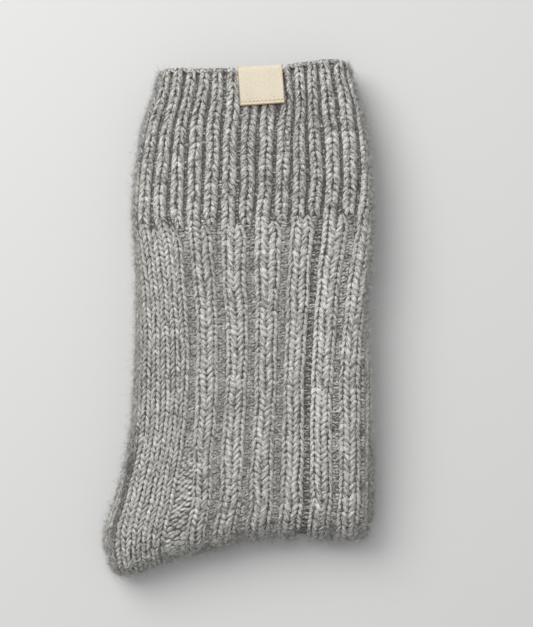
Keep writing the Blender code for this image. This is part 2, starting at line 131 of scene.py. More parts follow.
# Where columns of stitches start, in mm over the cloth from the left edge. Columns 1, 5 ... 25
# start in the middle of a groove of the leg. Column -3 starts in the plain knit.
# place on the leg, extra share of the first groove, columns -3, 1, 5, 9, 13, 17, 21, 25
COLUMNS = np.array([
    (-76.0, 0.58, 12.5, 27.6, 40.2, 52.3, 64.9, 76.7, 87.8, 100.7),
    (-66.0, 0.55, 11.9, 26.6, 38.9, 50.4, 62.3, 74.1, 85.5, 98.4),
    (-56.0, 0.42, 11.6, 25.6, 37.4, 49.2, 61.0, 72.7, 83.9, 96.6),
    (-45.0, 0.10, 12.4, 25.0, 36.5, 48.3, 60.0, 71.2, 82.4, 95.0),
    (-30.0, 0.02, 12.8, 24.8, 36.5, 47.8, 59.4, 70.2, 81.4, 93.9),
    (-12.0, 0.0, 12.3, 24.6, 36.2, 47.5, 59.0, 70.3, 81.7, 93.5),
    (7.0, 0.0, 11.5, 23.7, 35.4, 47.3, 59.3, 71.2, 83.0, 95.3),
    (18.0, 0.0, 10.8, 23.0, 34.7, 47.0, 60.3, 72.0, 84.4, 97.2),
    (27.0, 0.0, 10.0, 22.5, 34.4, 47.3, 60.9, 73.2, 86.4, 99.2),
    (34.0, 0.0, 9.4, 22.2, 34.7, 48.1, 61.9, 74.6, 88.0, 100.9),
    (42.0, 0.0, 9.2, 22.1, 35.2, 49.1, 63.1, 75.9, 89.4, 102.4),
    (52.0, 0.0, 8.9, 21.6, 35.2, 49.3, 63.1, 76.1, 90.0, 102.7),
    (66.0, 0.0, 8.6, 20.6, 34.0, 48.0, 61.7, 74.0, 88.2, 101.1),
    (80.0, 0.0, 8.3, 19.1, 31.7, 45.8, 59.7, 70.3, 84.0, 96.2),
    (92.0, 0.0, 7.7, 17.9, 29.0, 42.6, 56.0, 66.1, 77.9, 88.3),
    (100.0, 0.0, 7.2, 17.1, 27.7, 40.9, 53.9, 64.3, 75.8, 86.0),
])
FIRST_GROOVE, FIRST_MARK = 1, 2
MARKED = tuple(range(-3, 26, 4))
LAST_GROOVE, LAST_GROOVE_MORE = 24, 0.35     # a column, and its extra share low on the leg
WIDER_FROM, WIDER_REACH = 20.0, 30.0
WALES = 60                # columns round a sock
RIB_HALF = 30             # the first plain column
CUFF_END, LEG_START = 44.0, 33.0             # the columns change their widths in between
RIB_CHANGE = 38.5         # the place on the leg where the rib changes
CUFF_LENGTH = CUFF_LINE - RIB_CHANGE
# How wide a column is, against a knit column of the ribs.
KNIT_SHARE, PURL_SHARE, PLAIN_SHARE = 1.0, 0.26, 0.88
CUFF_KNIT_SHARE, CUFF_PURL_SHARE = 1.0, 0.22
SHOULDERS = (0.22, 0.78)  # a column's two shoulders, in columns
READ_STEPS = 260          # how many places down a sock the columns are worked out at

# x at the top, y at the top, x at the bottom, y at the bottom, half width, depth
TROUGHS = np.array([
    (29.5, 52.0, 28.0, -84.0, 8.0, 1.1),
    (-18.5, 30.0, -22.5, -66.0, 6.5, 0.6),
    (6.0, 94.0, 5.0, 46.0, 9.0, 0.5),
    (-2.0, -30.0, -8.0, -88.0, 7.0, 0.5),
    (42.0, 88.0, 49.0, 50.0, 6.0, 0.5),
])

LABEL_LEFT, LABEL_WIDTH = -0.2, 17.6
LABEL_DROP = 13.8         # its length in front of the rim
LABEL_TUCK = 6.0          # and inside
LABEL_LEAN = 1.0          # how far its lower end lies to the right
LABEL_THICK = 0.5
LABEL_GAP = 0.4
LABEL_DIP = 1.9           # how far the rim is drawn down under the tape
LABEL_MARGIN = 0.2
LABEL_FADE = 1.3
WRAP_MIDDLE = (HALF + HALF_SLIT) / 2 + MOUTH_HALF        # the rim's wall over the tube's middle
WRAP_RADIUS = CROWN_WALL / 2 + LABEL_GAP + LABEL_THICK / 2


def smooth(share):
    share = np.clip(share, 0.0, 1.0)
    return share * share * (3.0 - 2.0 * share)


def along(table, column, place):
    """Read a table's column at a place, on a smooth curve through its rows."""
    xs, ys = table[:, 0], table[:, column]
    slopes = np.gradient(ys, xs)
    place = np.clip(place, xs[0], xs[-1])
    row = np.clip(np.searchsorted(xs, place) - 1, 0, len(xs) - 2)
    step = xs[row + 1] - xs[row]
    t = (place - xs[row]) / step
    return ((1 + 2 * t) * (1 - t) ** 2 * ys[row] + t * (1 - t) ** 2 * step * slopes[row]
            + t * t * (3 - 2 * t) * ys[row + 1] + t * t * (t - 1) * step * slopes[row + 1])


def soften(x, y, z):
    """Sink the heap's sides and press the soft troughs into it. The floor stays at 0."""
    left, right = along(OUTLINE, LEFT, y), along(OUTLINE, RIGHT, y)
    off_middle = (x - (left + right) / 2) / ((right - left) / 2)
    off_middle = np.clip(off_middle, -EDGE_REACH, EDGE_REACH)
    share = 1.0 - SIDE_SINK * off_middle ** 4
    share = share - FOLD_SINK * smooth((SINK_FROM - y) / (SINK_FROM - SINK_TO))
    for x_top, y_top, x_low, y_low, half_width, depth in TROUGHS:
        run = (y_top - y) / (y_top - y_low)
        middle = x_top + (x_low - x_top) * run
        across = 1.0 - smooth(np.abs(x - middle) / half_width)
        ends = smooth(np.minimum(run, 1.0 - run) / TROUGH_FADE)
        share = share - depth / STACK * across * ends
    return z * share


def fold_axis(share):
    return along(FOLD_EDGE, 1, share) + FOLD_TOP / 2


def leg_half(place):
    to_rim = np.clip((CUFF_LINE - place) / MOUTH_REACH, 0.0, 1.0)
    return HALF + MOUTH_HALF * (1.0 - to_rim) ** 2


def cuff_share(place):
    """1 in the cuff and 0 in the leg, as far as the columns' widths go."""
    return smooth((place - LEG_START) / (CUFF_END - LEG_START))


class Sock:
    """One sock as a map from the cloth to space.

    Its cloth has two measures: down, in mm from the cuff's rim along the tube's middle plane,
    and column, in stitches round the tube from the groove before the first wide rib.
    """

    def __init__(self, name):
        self.name = name
        self.node = name + "_sock"
        self.radius = FOLD_RADIUS[name]
        self.fold_start = LEG
        self.foot_start = LEG + math.pi * self.radius
        self.foot_length = TOE_END[name] - float(fold_axis(0.5))
        self.end = self.foot_start + self.foot_length
        self.knitted = (0.15, self.end - 0.05)
        self.steps = np.linspace(0.0, self.end, READ_STEPS)
        self.spots = (np.arange(WALES)[:, None] + np.array(SHOULDERS)).ravel()
        self.edge_rows = np.array([self.column_edges(down) for down in self.steps])
        self.relief_rows = np.array([self.column_relief(down) for down in self.steps])

    # where a measure lies -----------------------------------------------------
    def share_down_foot(self, down):
        return np.clip((down - self.foot_start) / self.foot_length, 0.0, 1.0)

    def foot_y(self, down):
        axis = fold_axis(0.5)
        return axis + (TOE_END[self.name] - axis) * self.share_down_foot(down)

    def place(self, down):
        return CUFF_LINE - down

    def leg_edges(self, y):
        left, right = along(OUTLINE, LEFT, y), along(OUTLINE, RIGHT, y)
        if self.name == "lower":
            left = left - along(OUTLINE, PEEK_LEFT, y)
            right = right + along(OUTLINE, PEEK_RIGHT, y)
        return left, right

    def foot_edges(self, y):
        left, right = along(FOOT_OUTLINE, 1, y), along(FOOT_OUTLINE, 2, y)
        from_toe = np.clip((TOE_END[self.name] - y) / TOE_LENGTH, 0.0, 1.0)
        share = TOE_SHARE + (1.0 - TOE_SHARE) * np.sqrt(1.0 - (1.0 - from_toe) ** 2)
        middle = (left + right) / 2
        return middle + (left - middle) * share, middle + (right - middle) * share

    def foot_half(self, y, name=None):
        from_toe = np.clip((TOE_END[name or self.name] - y) / TOE_LENGTH, 0.0, 1.0)
        return HALF - (HALF - TOE_HALF) * (1.0 - from_toe) ** 2

    def width(self, down):
        leg_left, leg_right = self.leg_edges(np.maximum(self.place(down), FOLD_LINE))
        foot_left, foot_right = self.foot_edges(self.foot_y(down))
        return np.where(down < self.foot_start, leg_right - leg_left, foot_right - foot_left)

    def half(self, down):
        leg = leg_half(np.maximum(self.place(down), FOLD_LINE))
        return np.where(down < self.foot_start, leg, self.foot_half(self.foot_y(down)))

    def girth(self, down):
        return 2 * (self.width(down) - 2 * self.half(down) + math.pi * self.half(down))

    # the knitting's columns ---------------------------------------------------
    def column_edges(self, down):
        """Where each column starts, over the cloth from the left edge."""
        place = max(self.place(down), COLUMNS[0, 0])
        width, around = float(self.width(down)), float(self.girth(down))
        full = float(self.width(self.fold_start)) if down > self.foot_start else width
        column = np.arange(WALES)
        cuff = float(cuff_share(place))
        knit = (column % 4 >= 2) & (column < RIB_HALF)
        leg = np.where(column >= RIB_HALF, PLAIN_SHARE, np.where(knit, KNIT_SHARE, PURL_SHARE))
        leg[:2] += float(along(COLUMNS, FIRST_GROOVE, place))
        leg[LAST_GROOVE] += LAST_GROOVE_MORE * float(smooth((WIDER_FROM - place) / WIDER_REACH))
        rib = np.where(column % 2 == 0, CUFF_KNIT_SHARE, CUFF_PURL_SHARE)
        shares = cuff * rib + (1.0 - cuff) * leg
        marks = [float(along(COLUMNS, FIRST_MARK + k, place)) * width / full
                 for k in range(len(MARKED))]
        marks.append(marks[0] + around)
        starts = MARKED + (MARKED[0] + WALES,)
        edges = [marks[:1]]
        for first, last, low, high in zip(starts, starts[1:], marks, marks[1:]):
            run = np.cumsum(np.take(shares, range(first, last), mode="wrap"))
            edges.append(low + (high - low) * run / run[-1])
        edges = np.concatenate(edges)
        return np.concatenate((edges[-MARKED[0]:], edges[1:1 - MARKED[0]] + around))

    def column_relief(self, down):
        """How far the cloth lies below the crowns, at both shoulders of each column."""
        place = max(self.place(down), FOLD_LINE)
        column, inside = np.floor(self.spots).astype(int), self.spots % 1.0
        turned = np.where(column % 4 == 2, 1.0 - inside, inside)
        knit = np.where(column % 2 == 0, CUFF_KNIT_DEPTH, PURL_DEPTH)
        patch = (column < 2) & (place < PATCH_FROM)
        groove = np.where(patch, PATCH_DEPTH, PURL_DEPTH)
        ribbed = np.where(column % 4 >= 2, SHOULDER_DEPTH * smooth(turned * 2 - 1), groove)
        leg = np.where(column >= RIB_HALF, PANEL_DEPTH, ribbed)
        cuff = float(cuff_share(place))
        half_turn = (self.foot_start - self.fold_start) / 2
        turned_under = smooth((down - self.fold_start - half_turn) / half_turn)
        fade = 1.0 - (1.0 - FOOT_RELIEF) * turned_under
        return (cuff * knit + (1.0 - cuff) * leg) * fade

    def between(self, rows, down, index, share):
        """Read a table of rows at a measure down and between two of its entries."""
        step = np.clip(down / self.end, 0.0, 1.0) * (len(self.steps) - 1)
        row = np.minimum(step.astype(int), len(self.steps) - 2)
        part = step - row
        count = rows.shape[1]
        following = (index + 1) % count
        near = rows[row, index] * (1 - share) + rows[row, following] * share
        far = rows[row + 1, index] * (1 - share) + rows[row + 1, following] * share
        return near * (1 - part) + far * part

    def over_cloth(self, down, column):
        column = np.mod(column, WALES)
        index = np.minimum(column.astype(int), WALES - 1)
        return self.between(self.edge_rows, down, index, column - index)

    def column_at(self, down, arc):
        """The column at a place over the cloth."""
        row = np.round(np.clip(down / self.end, 0.0, 1.0) * (len(self.steps) - 1)).astype(int)
        column = np.empty(len(arc))
        for step in np.unique(row):
            here, edges = row == step, self.edge_rows[step]
            turned = np.mod(arc[here] - edges[0], edges[-1] - edges[0]) + edges[0]
            column[here] = np.interp(turned, edges, np.arange(WALES + 1))
        return column

    def column_width(self, down, column):
        column = np.mod(column, WALES)
        index = np.minimum(column.astype(int), WALES - 1)
        return (self.between(self.edge_rows, down, index + 1, 0.0)
                - self.between(self.edge_rows, down, index, 0.0))

    def relief(self, down, column):
        step = np.mod(column - SHOULDERS[0], WALES)
        whole = np.floor(step)
        gap = SHOULDERS[1] - SHOULDERS[0]
        inside = step - whole
        first = inside < gap
        index = (2 * whole + np.where(first, 0, 1)).astype(int) % (2 * WALES)
        share = np.where(first, inside / gap, (inside - gap) / (1.0 - gap))
        return self.between(self.relief_rows, down, index, share)

    # the cloth in space -------------------------------------------------------
    def section(self, down, arc, depth):
        """Round the flattened tube: the place across it and the height over its middle."""
        width, half = self.width(down), self.half(down)
        flat, quarter = width - 2 * half, math.pi * half / 2
        arc = np.mod(arc, 2 * flat + 4 * quarter)
        back = arc > flat + 2 * quarter
        mirrored = np.where(back, 2 * flat + 4 * quarter - arc, arc)
        turn = (np.clip(mirrored / quarter, 0, 1)
                + np.clip((mirrored - quarter - flat) / quarter, 0, 1)) * math.pi / 2
        x = half + np.clip(mirrored - quarter, 0, flat) - (half - depth) * np.cos(turn)
        n = (half - depth) * np.sin(turn)
        return x, np.where(back, -n, n)

    def rim(self, share):
        y = along(RIM_EDGE, 1, share)
        if self.name == "lower":
            return y - LOWER_CUFF_SHORT
        left = along(OUTLINE, LEFT, y)
        width = along(OUTLINE, RIGHT, y) - left
        label_middle = (LABEL_LEFT + LABEL_WIDTH / 2 - left) / width
        beyond = np.abs(share - label_middle) * width - LABEL_WIDTH / 2
        return y - LABEL_DIP * (1.0 - smooth((beyond - LABEL_MARGIN) / LABEL_FADE))

    def in_space(self, down, x, n):
        """Put points of the tube's cross-sections in space."""
        share = x / self.width(down)
        axis = fold_axis(share)
        half = self.half(down)
        name = self.name

        y_leg = axis + (self.rim(share) - axis) * (1.0 - down / LEG)
        spring = 1.0 - np.clip((y_leg - axis) / SPRING_REACH, 0.0, 1.0)
        droop = np.clip(y_leg - DROOP_FROM, 0.0, None) / (CUFF_LINE - DROOP_FROM)
        top = STACK + FOLD_SPRING * spring ** 2 - CUFF_DROOP * droop ** 2
        z_leg = top - half * (1 if name == "upper" else 3) + n
        z_leg = z_leg - (0.0 if name == "upper" else LAYER_GAP)

        turn = np.clip((down - self.fold_start) / self.radius, 0.0, math.pi)
        y_fold = axis - (self.radius + n) * np.sin(turn)
        z_fold = FOLD_TOP / 2 + (self.radius + n) * np.cos(turn)

        y_foot = axis + (TOE_END[name] - axis) * self.share_down_foot(down)
        beneath = self.foot_half(y_foot, "upper")
        middle = beneath if name == "upper" else 2 * beneath + LAYER_GAP + self.foot_half(y_foot)
        z_foot = middle - n * self.foot_half(y_foot) / half

        on_leg, on_foot = down < self.fold_start, down > self.foot_start
        y = np.where(on_leg, y_leg, np.where(on_foot, y_foot, y_fold))
        z = np.where(on_leg, z_leg, np.where(on_foot, z_foot, z_fold))
        leg_left, leg_right = self.leg_edges(y)
        foot_left, foot_right = self.foot_edges(y)
        turned = smooth(turn / math.pi)
        left = leg_left + (foot_left - leg_left) * turned
        right = leg_right + (foot_right - leg_right) * turned
        x = left + share * (right - left)
        return np.stack((x, y, np.maximum(soften(x, y, z), 0.0)), axis=-1)

    def spot(self, down, column, depth):
        """A point of the cloth: depth is how far it lies below the crowns' surface."""
        x, n = self.section(down, self.over_cloth(down, column), depth)
        return self.in_space(down, x, n)


# ---------------------------------------------------------------- helpers

MERGED = 0.03             # points of a seam that lie nearer than this become one


def deselect():
    if bpy.context.object and bpy.context.object.mode != "OBJECT":
        bpy.ops.object.mode_set(mode="OBJECT")
    bpy.ops.object.select_all(action="DESELECT")


def finish_piece(piece, node, material):
    """Give a piece its finish, and tie it to the model."""
    piece.data.materials.clear()
    piece.data.materials.append(material)
    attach(piece, "root")
    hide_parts(node)
    return piece


def finish_knit(piece, sock, material):
    return finish_piece(piece, sock.node, material)


def finish_tape(piece, material):
    return finish_piece(piece, "label", material)


def read_grid(mesh):
    """The places of a new 2 x 2 grid's points, from 0 to 1 each way."""
    corners = np.zeros(len(mesh.vertices) * 3)
    mesh.vertices.foreach_get("co", corners)
    corners = (corners.reshape(-1, 3) + 1) / 2
    return corners[:, 0], corners[:, 1]


def make_wall(piece, thickness, merged=False):
    """Turn a sheet's faces outwards and give it its thickness, half to each side."""
    bpy.ops.object.mode_set(mode="EDIT")
    bpy.ops.mesh.select_all(action="SELECT")
    if merged:
        bpy.ops.mesh.remove_doubles(threshold=MERGED * MM)
    bpy.ops.mesh.normals_make_consistent(inside=False)
    bpy.ops.object.mode_set(mode="OBJECT")
    wall = piece.modifiers.new("wall", "SOLIDIFY")
    wall.thickness = thickness * MM
    wall.offset = 0.0
    bpy.ops.object.modifier_apply(modifier=wall.name)
    piece.data.shade_smooth()


EDGE_SHADE = 5.0          # how much darker a strand is painted at its sides and ends, as painted shade where its neighbours meet it and cover it, in tones
POLE = 0.99               # past this share of a strand's length lies its end point
UV_STEP = 7.31            # how far on the yarn's pattern each copy begins


class Strand:
    """A plump length of yarn, modelled once as a sphere and then drawn out on each stitch."""

    def __init__(self, sides, rings):
        deselect()
        bpy.ops.mesh.primitive_uv_sphere_add(segments=sides, ring_count=rings, radius=1.0)
        model = bpy.context.object
        mesh = model.data
        corners = np.zeros(len(mesh.vertices) * 3)
        mesh.vertices.foreach_get("co", corners)
        self.points = corners.reshape(-1, 3)
        self.sizes = np.zeros(len(mesh.polygons), int)
        mesh.polygons.foreach_get("loop_total", self.sizes)
        self.loops = np.zeros(len(mesh.loops), int)
        mesh.loops.foreach_get("vertex_index", self.loops)
        unwrapped = np.zeros(len(mesh.loops) * 2)
        mesh.uv_layers.active.data.foreach_get("uv", unwrapped)
        self.unwrapped = unwrapped.reshape(-1, 2)
        bpy.data.objects.remove(model)
        bpy.data.meshes.remove(mesh)
        # Painted shade: each point is darker at the strand's sides and ends, where the strands
        # beside it would shade it.
        around = np.arctan2(self.up, self.across)
        at_side = np.where(np.abs(self.along) > POLE, 0.0, np.abs(np.cos(around)) ** 3)
        self.shade = EDGE_SHADE * np.maximum(at_side, np.abs(self.along) ** 4)

    @property
    def along(self):
        return self.points[:, 2]

    @property
    def across(self):
        return self.points[:, 0]

    @property
    def up(self):
        return self.points[:, 1]

    def join(self, name, places, lengths, girth, tones, shading=1.0):
        """One mesh of all the copies: places has a row of points for each copy."""
        copies, count = places.shape[0], len(self.points)
        mesh = bpy.data.meshes.new(name)
        mesh.vertices.add(copies * count)
        mesh.vertices.foreach_set("co", (places * MM).ravel())
        offsets = np.arange(copies)[:, None] * count
        loops = (self.loops[None, :] + offsets).ravel()
        sizes = np.tile(self.sizes, copies)
        mesh.loops.add(len(loops))
        mesh.loops.foreach_set("vertex_index", loops)
        mesh.polygons.add(len(sizes))
        starts = np.concatenate(((0,), np.cumsum(sizes)[:-1]))
        mesh.polygons.foreach_set("loop_start", starts)
        mesh.update(calc_edges=True)
        mesh.shade_smooth()
        layer = mesh.uv_layers.new(name="yarn")
        run = self.unwrapped[None, :, 1] * lengths[:, None] + np.arange(copies)[:, None] * UV_STEP
        round_it = np.broadcast_to(self.unwrapped[None, :, 0] * girth, run.shape)
        layer.data.foreach_set("uv", np.stack((run, round_it), axis=-1).ravel())
        tone = mesh.attributes.new("tone", "FLOAT", "POINT")
        # The stitches' own melange tones, less the strand's painted shade at its sides and ends.
        shaded = tones[:, None] - shading * self.shade[None, :]
        tone.data.foreach_set("value", shaded.ravel())
        piece = bpy.data.objects.new(name, mesh)
        bpy.context.scene.collection.objects.link(piece)
        return piece


# ---------------------------------------------------------------- stitches

# Places and widths across are in columns, and the rest is in mm, unless a comment says it.
RIB_COURSE = 2.25         # height of a row in the ribs, over the cloth
PLAIN_COURSE = 2.0        # and in the plain knit

# Knit stitches: two legs each.
LEG_REACH = 0.86          # half of a leg's length down the sock, in rows
LEG_NEAR = 0.28           # a leg's middle, from its stitch's middle
LEG_SWEEP, CUFF_SWEEP, PLAIN_SWEEP = 0.23, 0.26, 0.24   # how far it leans out
LEG_WIDE = 0.225          # half of its width
CUFF_WIDER = 0.03         # how much wider and farther out in the cuff
LEG_THICK = 0.88          # half of its thickness
LEG_RAISED = 0.12         # how far it stands over the crowns' surface
LEG_DIVE = (0.55, 1.15)   # how far it goes under at its inner and at its outer end
LEG_SHINGLE = 0.42        # how far it tilts over the stitch before it
CUFF_ROUND = 1.0          # how far a narrow rib's sides lie below its middle
COLUMN_ROUND = 0.40       # the same for each column of the leg
PLAIN_ROUND = 0.5         # and the share of that in the plain knit
RIB_ROUND = 0.7           # how much more a wide rib falls off at its sides
RIB_CROWD = 0.35          # how far a wide rib's stitches are crowded to its sides
STITCH_SPREAD, LEG_SPREAD, SWEEP_SPREAD = 0.05, 0.08, 0.14     # uneven sizes, as shares
LEG_OFF = (0.12, 0.025, 0.09)                # uneven places: down, across and in depth

# Purl stitches: two bars each.
BAR_REACH, BAR_PAST = 0.40, 0.45             # half of a bar's length, and the mm past it
BAR_THICK, PRESSED_THIN = 0.42, 0.4          # half of its thickness, and what a shut groove takes
BAR_TALL = 0.75           # half of its height
BAR_BOW = 0.25            # how far its ends lie up or down
BAR_ENDS = 0.2            # how much deeper its ends lie
BAR_LOWER = 0.5           # how much deeper the bars lie than the solid's groove
BAR_SPREAD, BAR_TILT = 0.14, 0.32            # uneven sizes, as shares, and slants
BAR_OFF = (0.16, 0.08, 0.10)                 # uneven places: down, across and in depth
GATHERED, GATHERED_FROM = 0.55, 0.2          # a shut groove draws a stitch's bars together
PATCH_TOP, PATCH_FADE = -38.0, 15.0          # the scene's patch beside the heel, down the leg
PATCH_PLAIN = 0.8         # the share of the bars' bow, depth and painted shade that the patch lacks
PATCH_SHIFT, PATCH_SHORT, PATCH_TALL = 0.25, 0.25, 0.3    # its short tall bars lie like bricks

# Grooves that are pressed shut: the middle, how far to its sides, the added depth.
SHUT_GROOVES = ((17, 0.7, 0.9), (21, 0.7, 0.3), (25.8, 0.1, 0.45))
SHUT_FADE_IN, SHUT_PAST_FOLD, SHUT_FADE_OUT = 8.0, 24.0, 10.0
CUFF_SHUT = 0.62          # the same in the cuff's valleys
DEEPEST = 2.6             # nothing of the outer knit lies deeper below the crowns

# How much darker the yarn is, in tones. Painted shade: in the purl grooves, more where a groove
# is pressed shut, over the cuff, round the fold, over the lower sock and in the slit beside the
# heel. The rim's turns are darker as well.
BAR_SHADE, PRESSED_SHADE, PRESSED_LEG = 3.4, 4.0, 0.25
CUFF_SHADE, FOLD_SHADE, BENEATH_SHADE, RIM_SHADE = 1.6, 3.0, 2.0, 2.5
# the stretch over which the fold's painted shade fades in, in mm
FOLD_FADE = 28.0
FOLD_BENEATH = 0.4        # the share of the fold's painted shade that the lower sock has
# where the painted shade of the slit beside the heel begins and ends on the leg, and how far it
# fades in at each
HEEL_TOP, HEEL_TOP_FADE, HEEL_LOW, HEEL_LOW_FADE = -30.0, 20.0, -81.0, 14.0
HEEL_COLUMN, HEEL_SHADE = -5.35, 11.0        # the slit of painted shade lies before this column

# Melange: how far a tone spreads over its neighbours in the row.
NEIGHBOURS = (0.15, 0.35, 0.6, 0.8, 0.6, 0.35, 0.15)
ROW_TONE, STITCH_TONE, LEG_TONE, RIM_TONE = 0.6, 0.35, 0.35, 0.8
TONES_WIDE, TONES_FROM = 400, 100            # columns of random tones, and where column 0 is

# How far it is round a strand, for its pattern.
LEG_AROUND, BAR_AROUND, RIM_AROUND = 4.4, 2.6, 3.4
BAR_EDGE = 0.45           # the share of the strand's own painted edge shade that a bar has

# The cast-on edge: rings of turns of yarn.
RIM_RINGS = ((1.15, 1.35), (1.5, 0.8), (2.1, 1.4))   # depth and measure down
TURN_REACH, TURN_PAST = 0.42, 0.35           # half of a turn's length, and the mm past it
TURN_SLANT, TURN_TALL, TURN_THICK, TURN_ENDS = 0.55, 0.62, 0.5, 0.2
TURN_OFF, TURN_LENGTH = 0.08, 3.0


def is_knit(column, place):
    column = np.mod(column, WALES)
    in_leg = (column >= RIB_HALF) | (column % 4 >= 2)
    return np.where(place > RIB_CHANGE, column % 2 == 0, in_leg)


def shut(down, column):
    """How much deeper a groove lies where its ribs press together."""
    column, depth = np.mod(column, WALES), 0.0
    cuff = cuff_share(CUFF_LINE - down)
    valley = 1.0 - smooth(np.abs(np.mod(column, 2.0) - 1.5) * 2 - 0.6)
    for middle, half_width, added in SHUT_GROOVES:
        depth = depth + added * (1.0 - smooth(np.abs(column - middle) - half_width))
    in_leg = smooth((down - CUFF_LENGTH) / SHUT_FADE_IN)
    in_leg = in_leg * smooth((LEG + SHUT_PAST_FOLD - down) / SHUT_FADE_OUT)
    return depth * in_leg + CUFF_SHUT * cuff * valley


def in_patch(down, column):
    """1 in the wide purl patch beside the heel, 0 elsewhere."""
    wale = np.floor(np.mod(column, WALES))
    return (wale < 2) * smooth((PATCH_TOP - (CUFF_LINE - down)) / PATCH_FADE)


def roundness(place, column, across):
    """How far a knit column falls off, at a distance from its middle in columns."""
    cuff = cuff_share(place)
    wale = np.mod(np.floor(column), WALES)
    outward = np.where(wale % 4 == 2, -1.0, 1.0) * (wale < RIB_HALF)
    both = (np.clip(np.abs(across), 0.0, 0.6) * 2) ** 2
    both = both * np.where(cuff + (wale < RIB_HALF) > 0.0, 1.0, PLAIN_ROUND)
    rib_side = np.clip(0.5 + outward * across, 0.0, 1.1) ** 2 * np.abs(outward)
    return cuff * CUFF_ROUND * both + (1.0 - cuff) * (COLUMN_ROUND * both + RIB_ROUND * rib_side)


def crowd(column):
    """How far a place in a wide rib moves out, because the rib's sides turn away."""
    off_middle = np.mod(column - 2.0, 4.0) - 1.0
    in_rib = (off_middle < 1.0) & (np.mod(column, WALES) < RIB_HALF)
    return np.where(in_rib, RIB_CROWD * off_middle * (1.0 - np.abs(off_middle)), 0.0)


def rows_down(sock, course, start, end):
    """Measures down a sock where the rows of a column lie."""
    rows, down = [], 0.5 * course
    while down < sock.end:
        rows.append(down)
        turning = sock.fold_start < down < sock.foot_start
        down += course * (sock.radius / (sock.radius + HALF) if turning else 1.0)
    rows = np.array(rows)
    return rows[(rows >= start) & (rows < end)]


PAIRED_BELOW, TRIPLED_BELOW = 0.7, 0.45      # where stitches are joined in the narrowing toe


def list_stitches(sock, columns, start, end):
    """Every stitch of a stretch: its measure down, its middle column, row height and span."""
    found = []
    for column in columns:
        plain = column % WALES >= RIB_HALF
        for down in rows_down(sock, PLAIN_COURSE if plain else RIB_COURSE, start, end):
            course = PLAIN_COURSE if plain and down > CUFF_LENGTH else RIB_COURSE
            if sock.fold_start < down < sock.foot_start:
                course *= sock.radius / (sock.radius + HALF)
            span = 1
            if down > sock.foot_start:
                narrow = float(sock.width(down)) / float(sock.width(sock.foot_start + 1.0))
                span = 1 if narrow > PAIRED_BELOW else 2 if narrow > TRIPLED_BELOW else 3
            if column % span == 0:
                found.append((down, column + span / 2, course, span))
    return np.array(found)


def painted_shade_at(sock, down, column):
    """How much painted shade darkens the yarn over the cuff, round the fold, over the lower sock
    and in the slit beside the heel, in tones.
    """
    place = sock.place(down)
    cuff = CUFF_SHADE * cuff_share(place)
    fold = FOLD_SHADE * smooth((down - LEG) / FOLD_FADE + 0.5)
    at_heel = smooth((HEEL_TOP - place) / HEEL_TOP_FADE)
    at_heel = at_heel * smooth((place - HEEL_LOW) / HEEL_LOW_FADE)
    if sock.name == "upper":
        return cuff + fold + HEEL_SHADE * at_heel * (column < HEEL_COLUMN)
    return cuff + FOLD_BENEATH * fold + BENEATH_SHADE * (1.0 - at_heel)


def row_tones(rng, stitches):
    """Melange: a stitch is like its neighbours in its row, because they share a yarn."""
    row = np.round(stitches[:, 0] / RIB_COURSE).astype(int)
    column = np.round(stitches[:, 1]).astype(int)
    field = rng.normal(size=(row.max() + 2, TONES_WIDE))
    field = np.apply_along_axis(lambda line: np.convolve(line, NEIGHBOURS, "same"), 1, field)
    shared = field[row, column + TONES_FROM]
    return ROW_TONE * shared + STITCH_TONE * rng.normal(size=len(stitches))


def knit_piece(name, sock, stitches, strand, rng):
    """The two legs of every knit stitch, leaning together at the top."""
    count = len(stitches)
    side = np.tile((-1.0, 1.0), count)[:, None]
    down, column, course, span = (np.repeat(stitches[:, k], 2)[:, None] for k in range(4))
    stitch_size = np.repeat(rng.normal(1.0, STITCH_SPREAD, count), 2)[:, None]
    leg_size = rng.normal(1.0, LEG_SPREAD, (2 * count, 1))
    wide = sock.column_width(down[:, 0], column[:, 0])[:, None] * span
    down = down + rng.normal(0.0, LEG_OFF[0], (2 * count, 1)) + sway_down(down, column)
    column = column + rng.normal(0.0, LEG_OFF[1], (2 * count, 1)) + sway_across(down, column)
    a, c, u = strand.along[None, :], strand.across[None, :], strand.up[None, :]
    cuff = cuff_share(sock.place(down))
    sweep = np.where(np.mod(column, WALES) > RIB_HALF, PLAIN_SWEEP, LEG_SWEEP)
    sweep = sweep + (CUFF_SWEEP - sweep) * cuff
    sweep = sweep * rng.normal(1.0, SWEEP_SPREAD, (2 * count, 1))
    reach = LEG_REACH * course * stitch_size
    lean = np.arctan2(sweep * wide, reach)
    half_width = (LEG_WIDE + CUFF_WIDER * cuff) * wide * leg_size
    at_down = down + a * reach - side * c * half_width * np.sin(lean)
    at_column = column + side * (LEG_NEAR + CUFF_WIDER * cuff + sweep * a) * span
    at_column = at_column + c * half_width * np.cos(lean) / wide * span
    at_column = at_column + (1.0 - cuff) * crowd(at_column)
    at_down = np.clip(at_down, *sock.knitted)
    thick = LEG_THICK * stitch_size
    dive = np.where(a < 0, LEG_DIVE[0], LEG_DIVE[1]) * a * a - LEG_SHINGLE * c * side
    dive = dive + roundness(sock.place(down), column, (at_column - column) / span)
    depth = sock.relief(at_down, at_column) + thick * (1.0 - u) + dive - LEG_RAISED
    depth = depth + rng.normal(0.0, LEG_OFF[2], (2 * count, 1))
    places = sock.spot(at_down, at_column, np.minimum(depth, DEEPEST))
    lengths = (2 * reach / np.cos(lean))[:, 0]
    tones = np.repeat(row_tones(rng, stitches), 2) + LEG_TONE * rng.normal(size=2 * count)
    # Painted shade over the cuff, round the fold, over the lower sock and in the slit beside the
    # heel.
    tones = tones - painted_shade_at(sock, down[:, 0], column[:, 0])
    return strand.join(name, places, lengths, LEG_AROUND, tones)


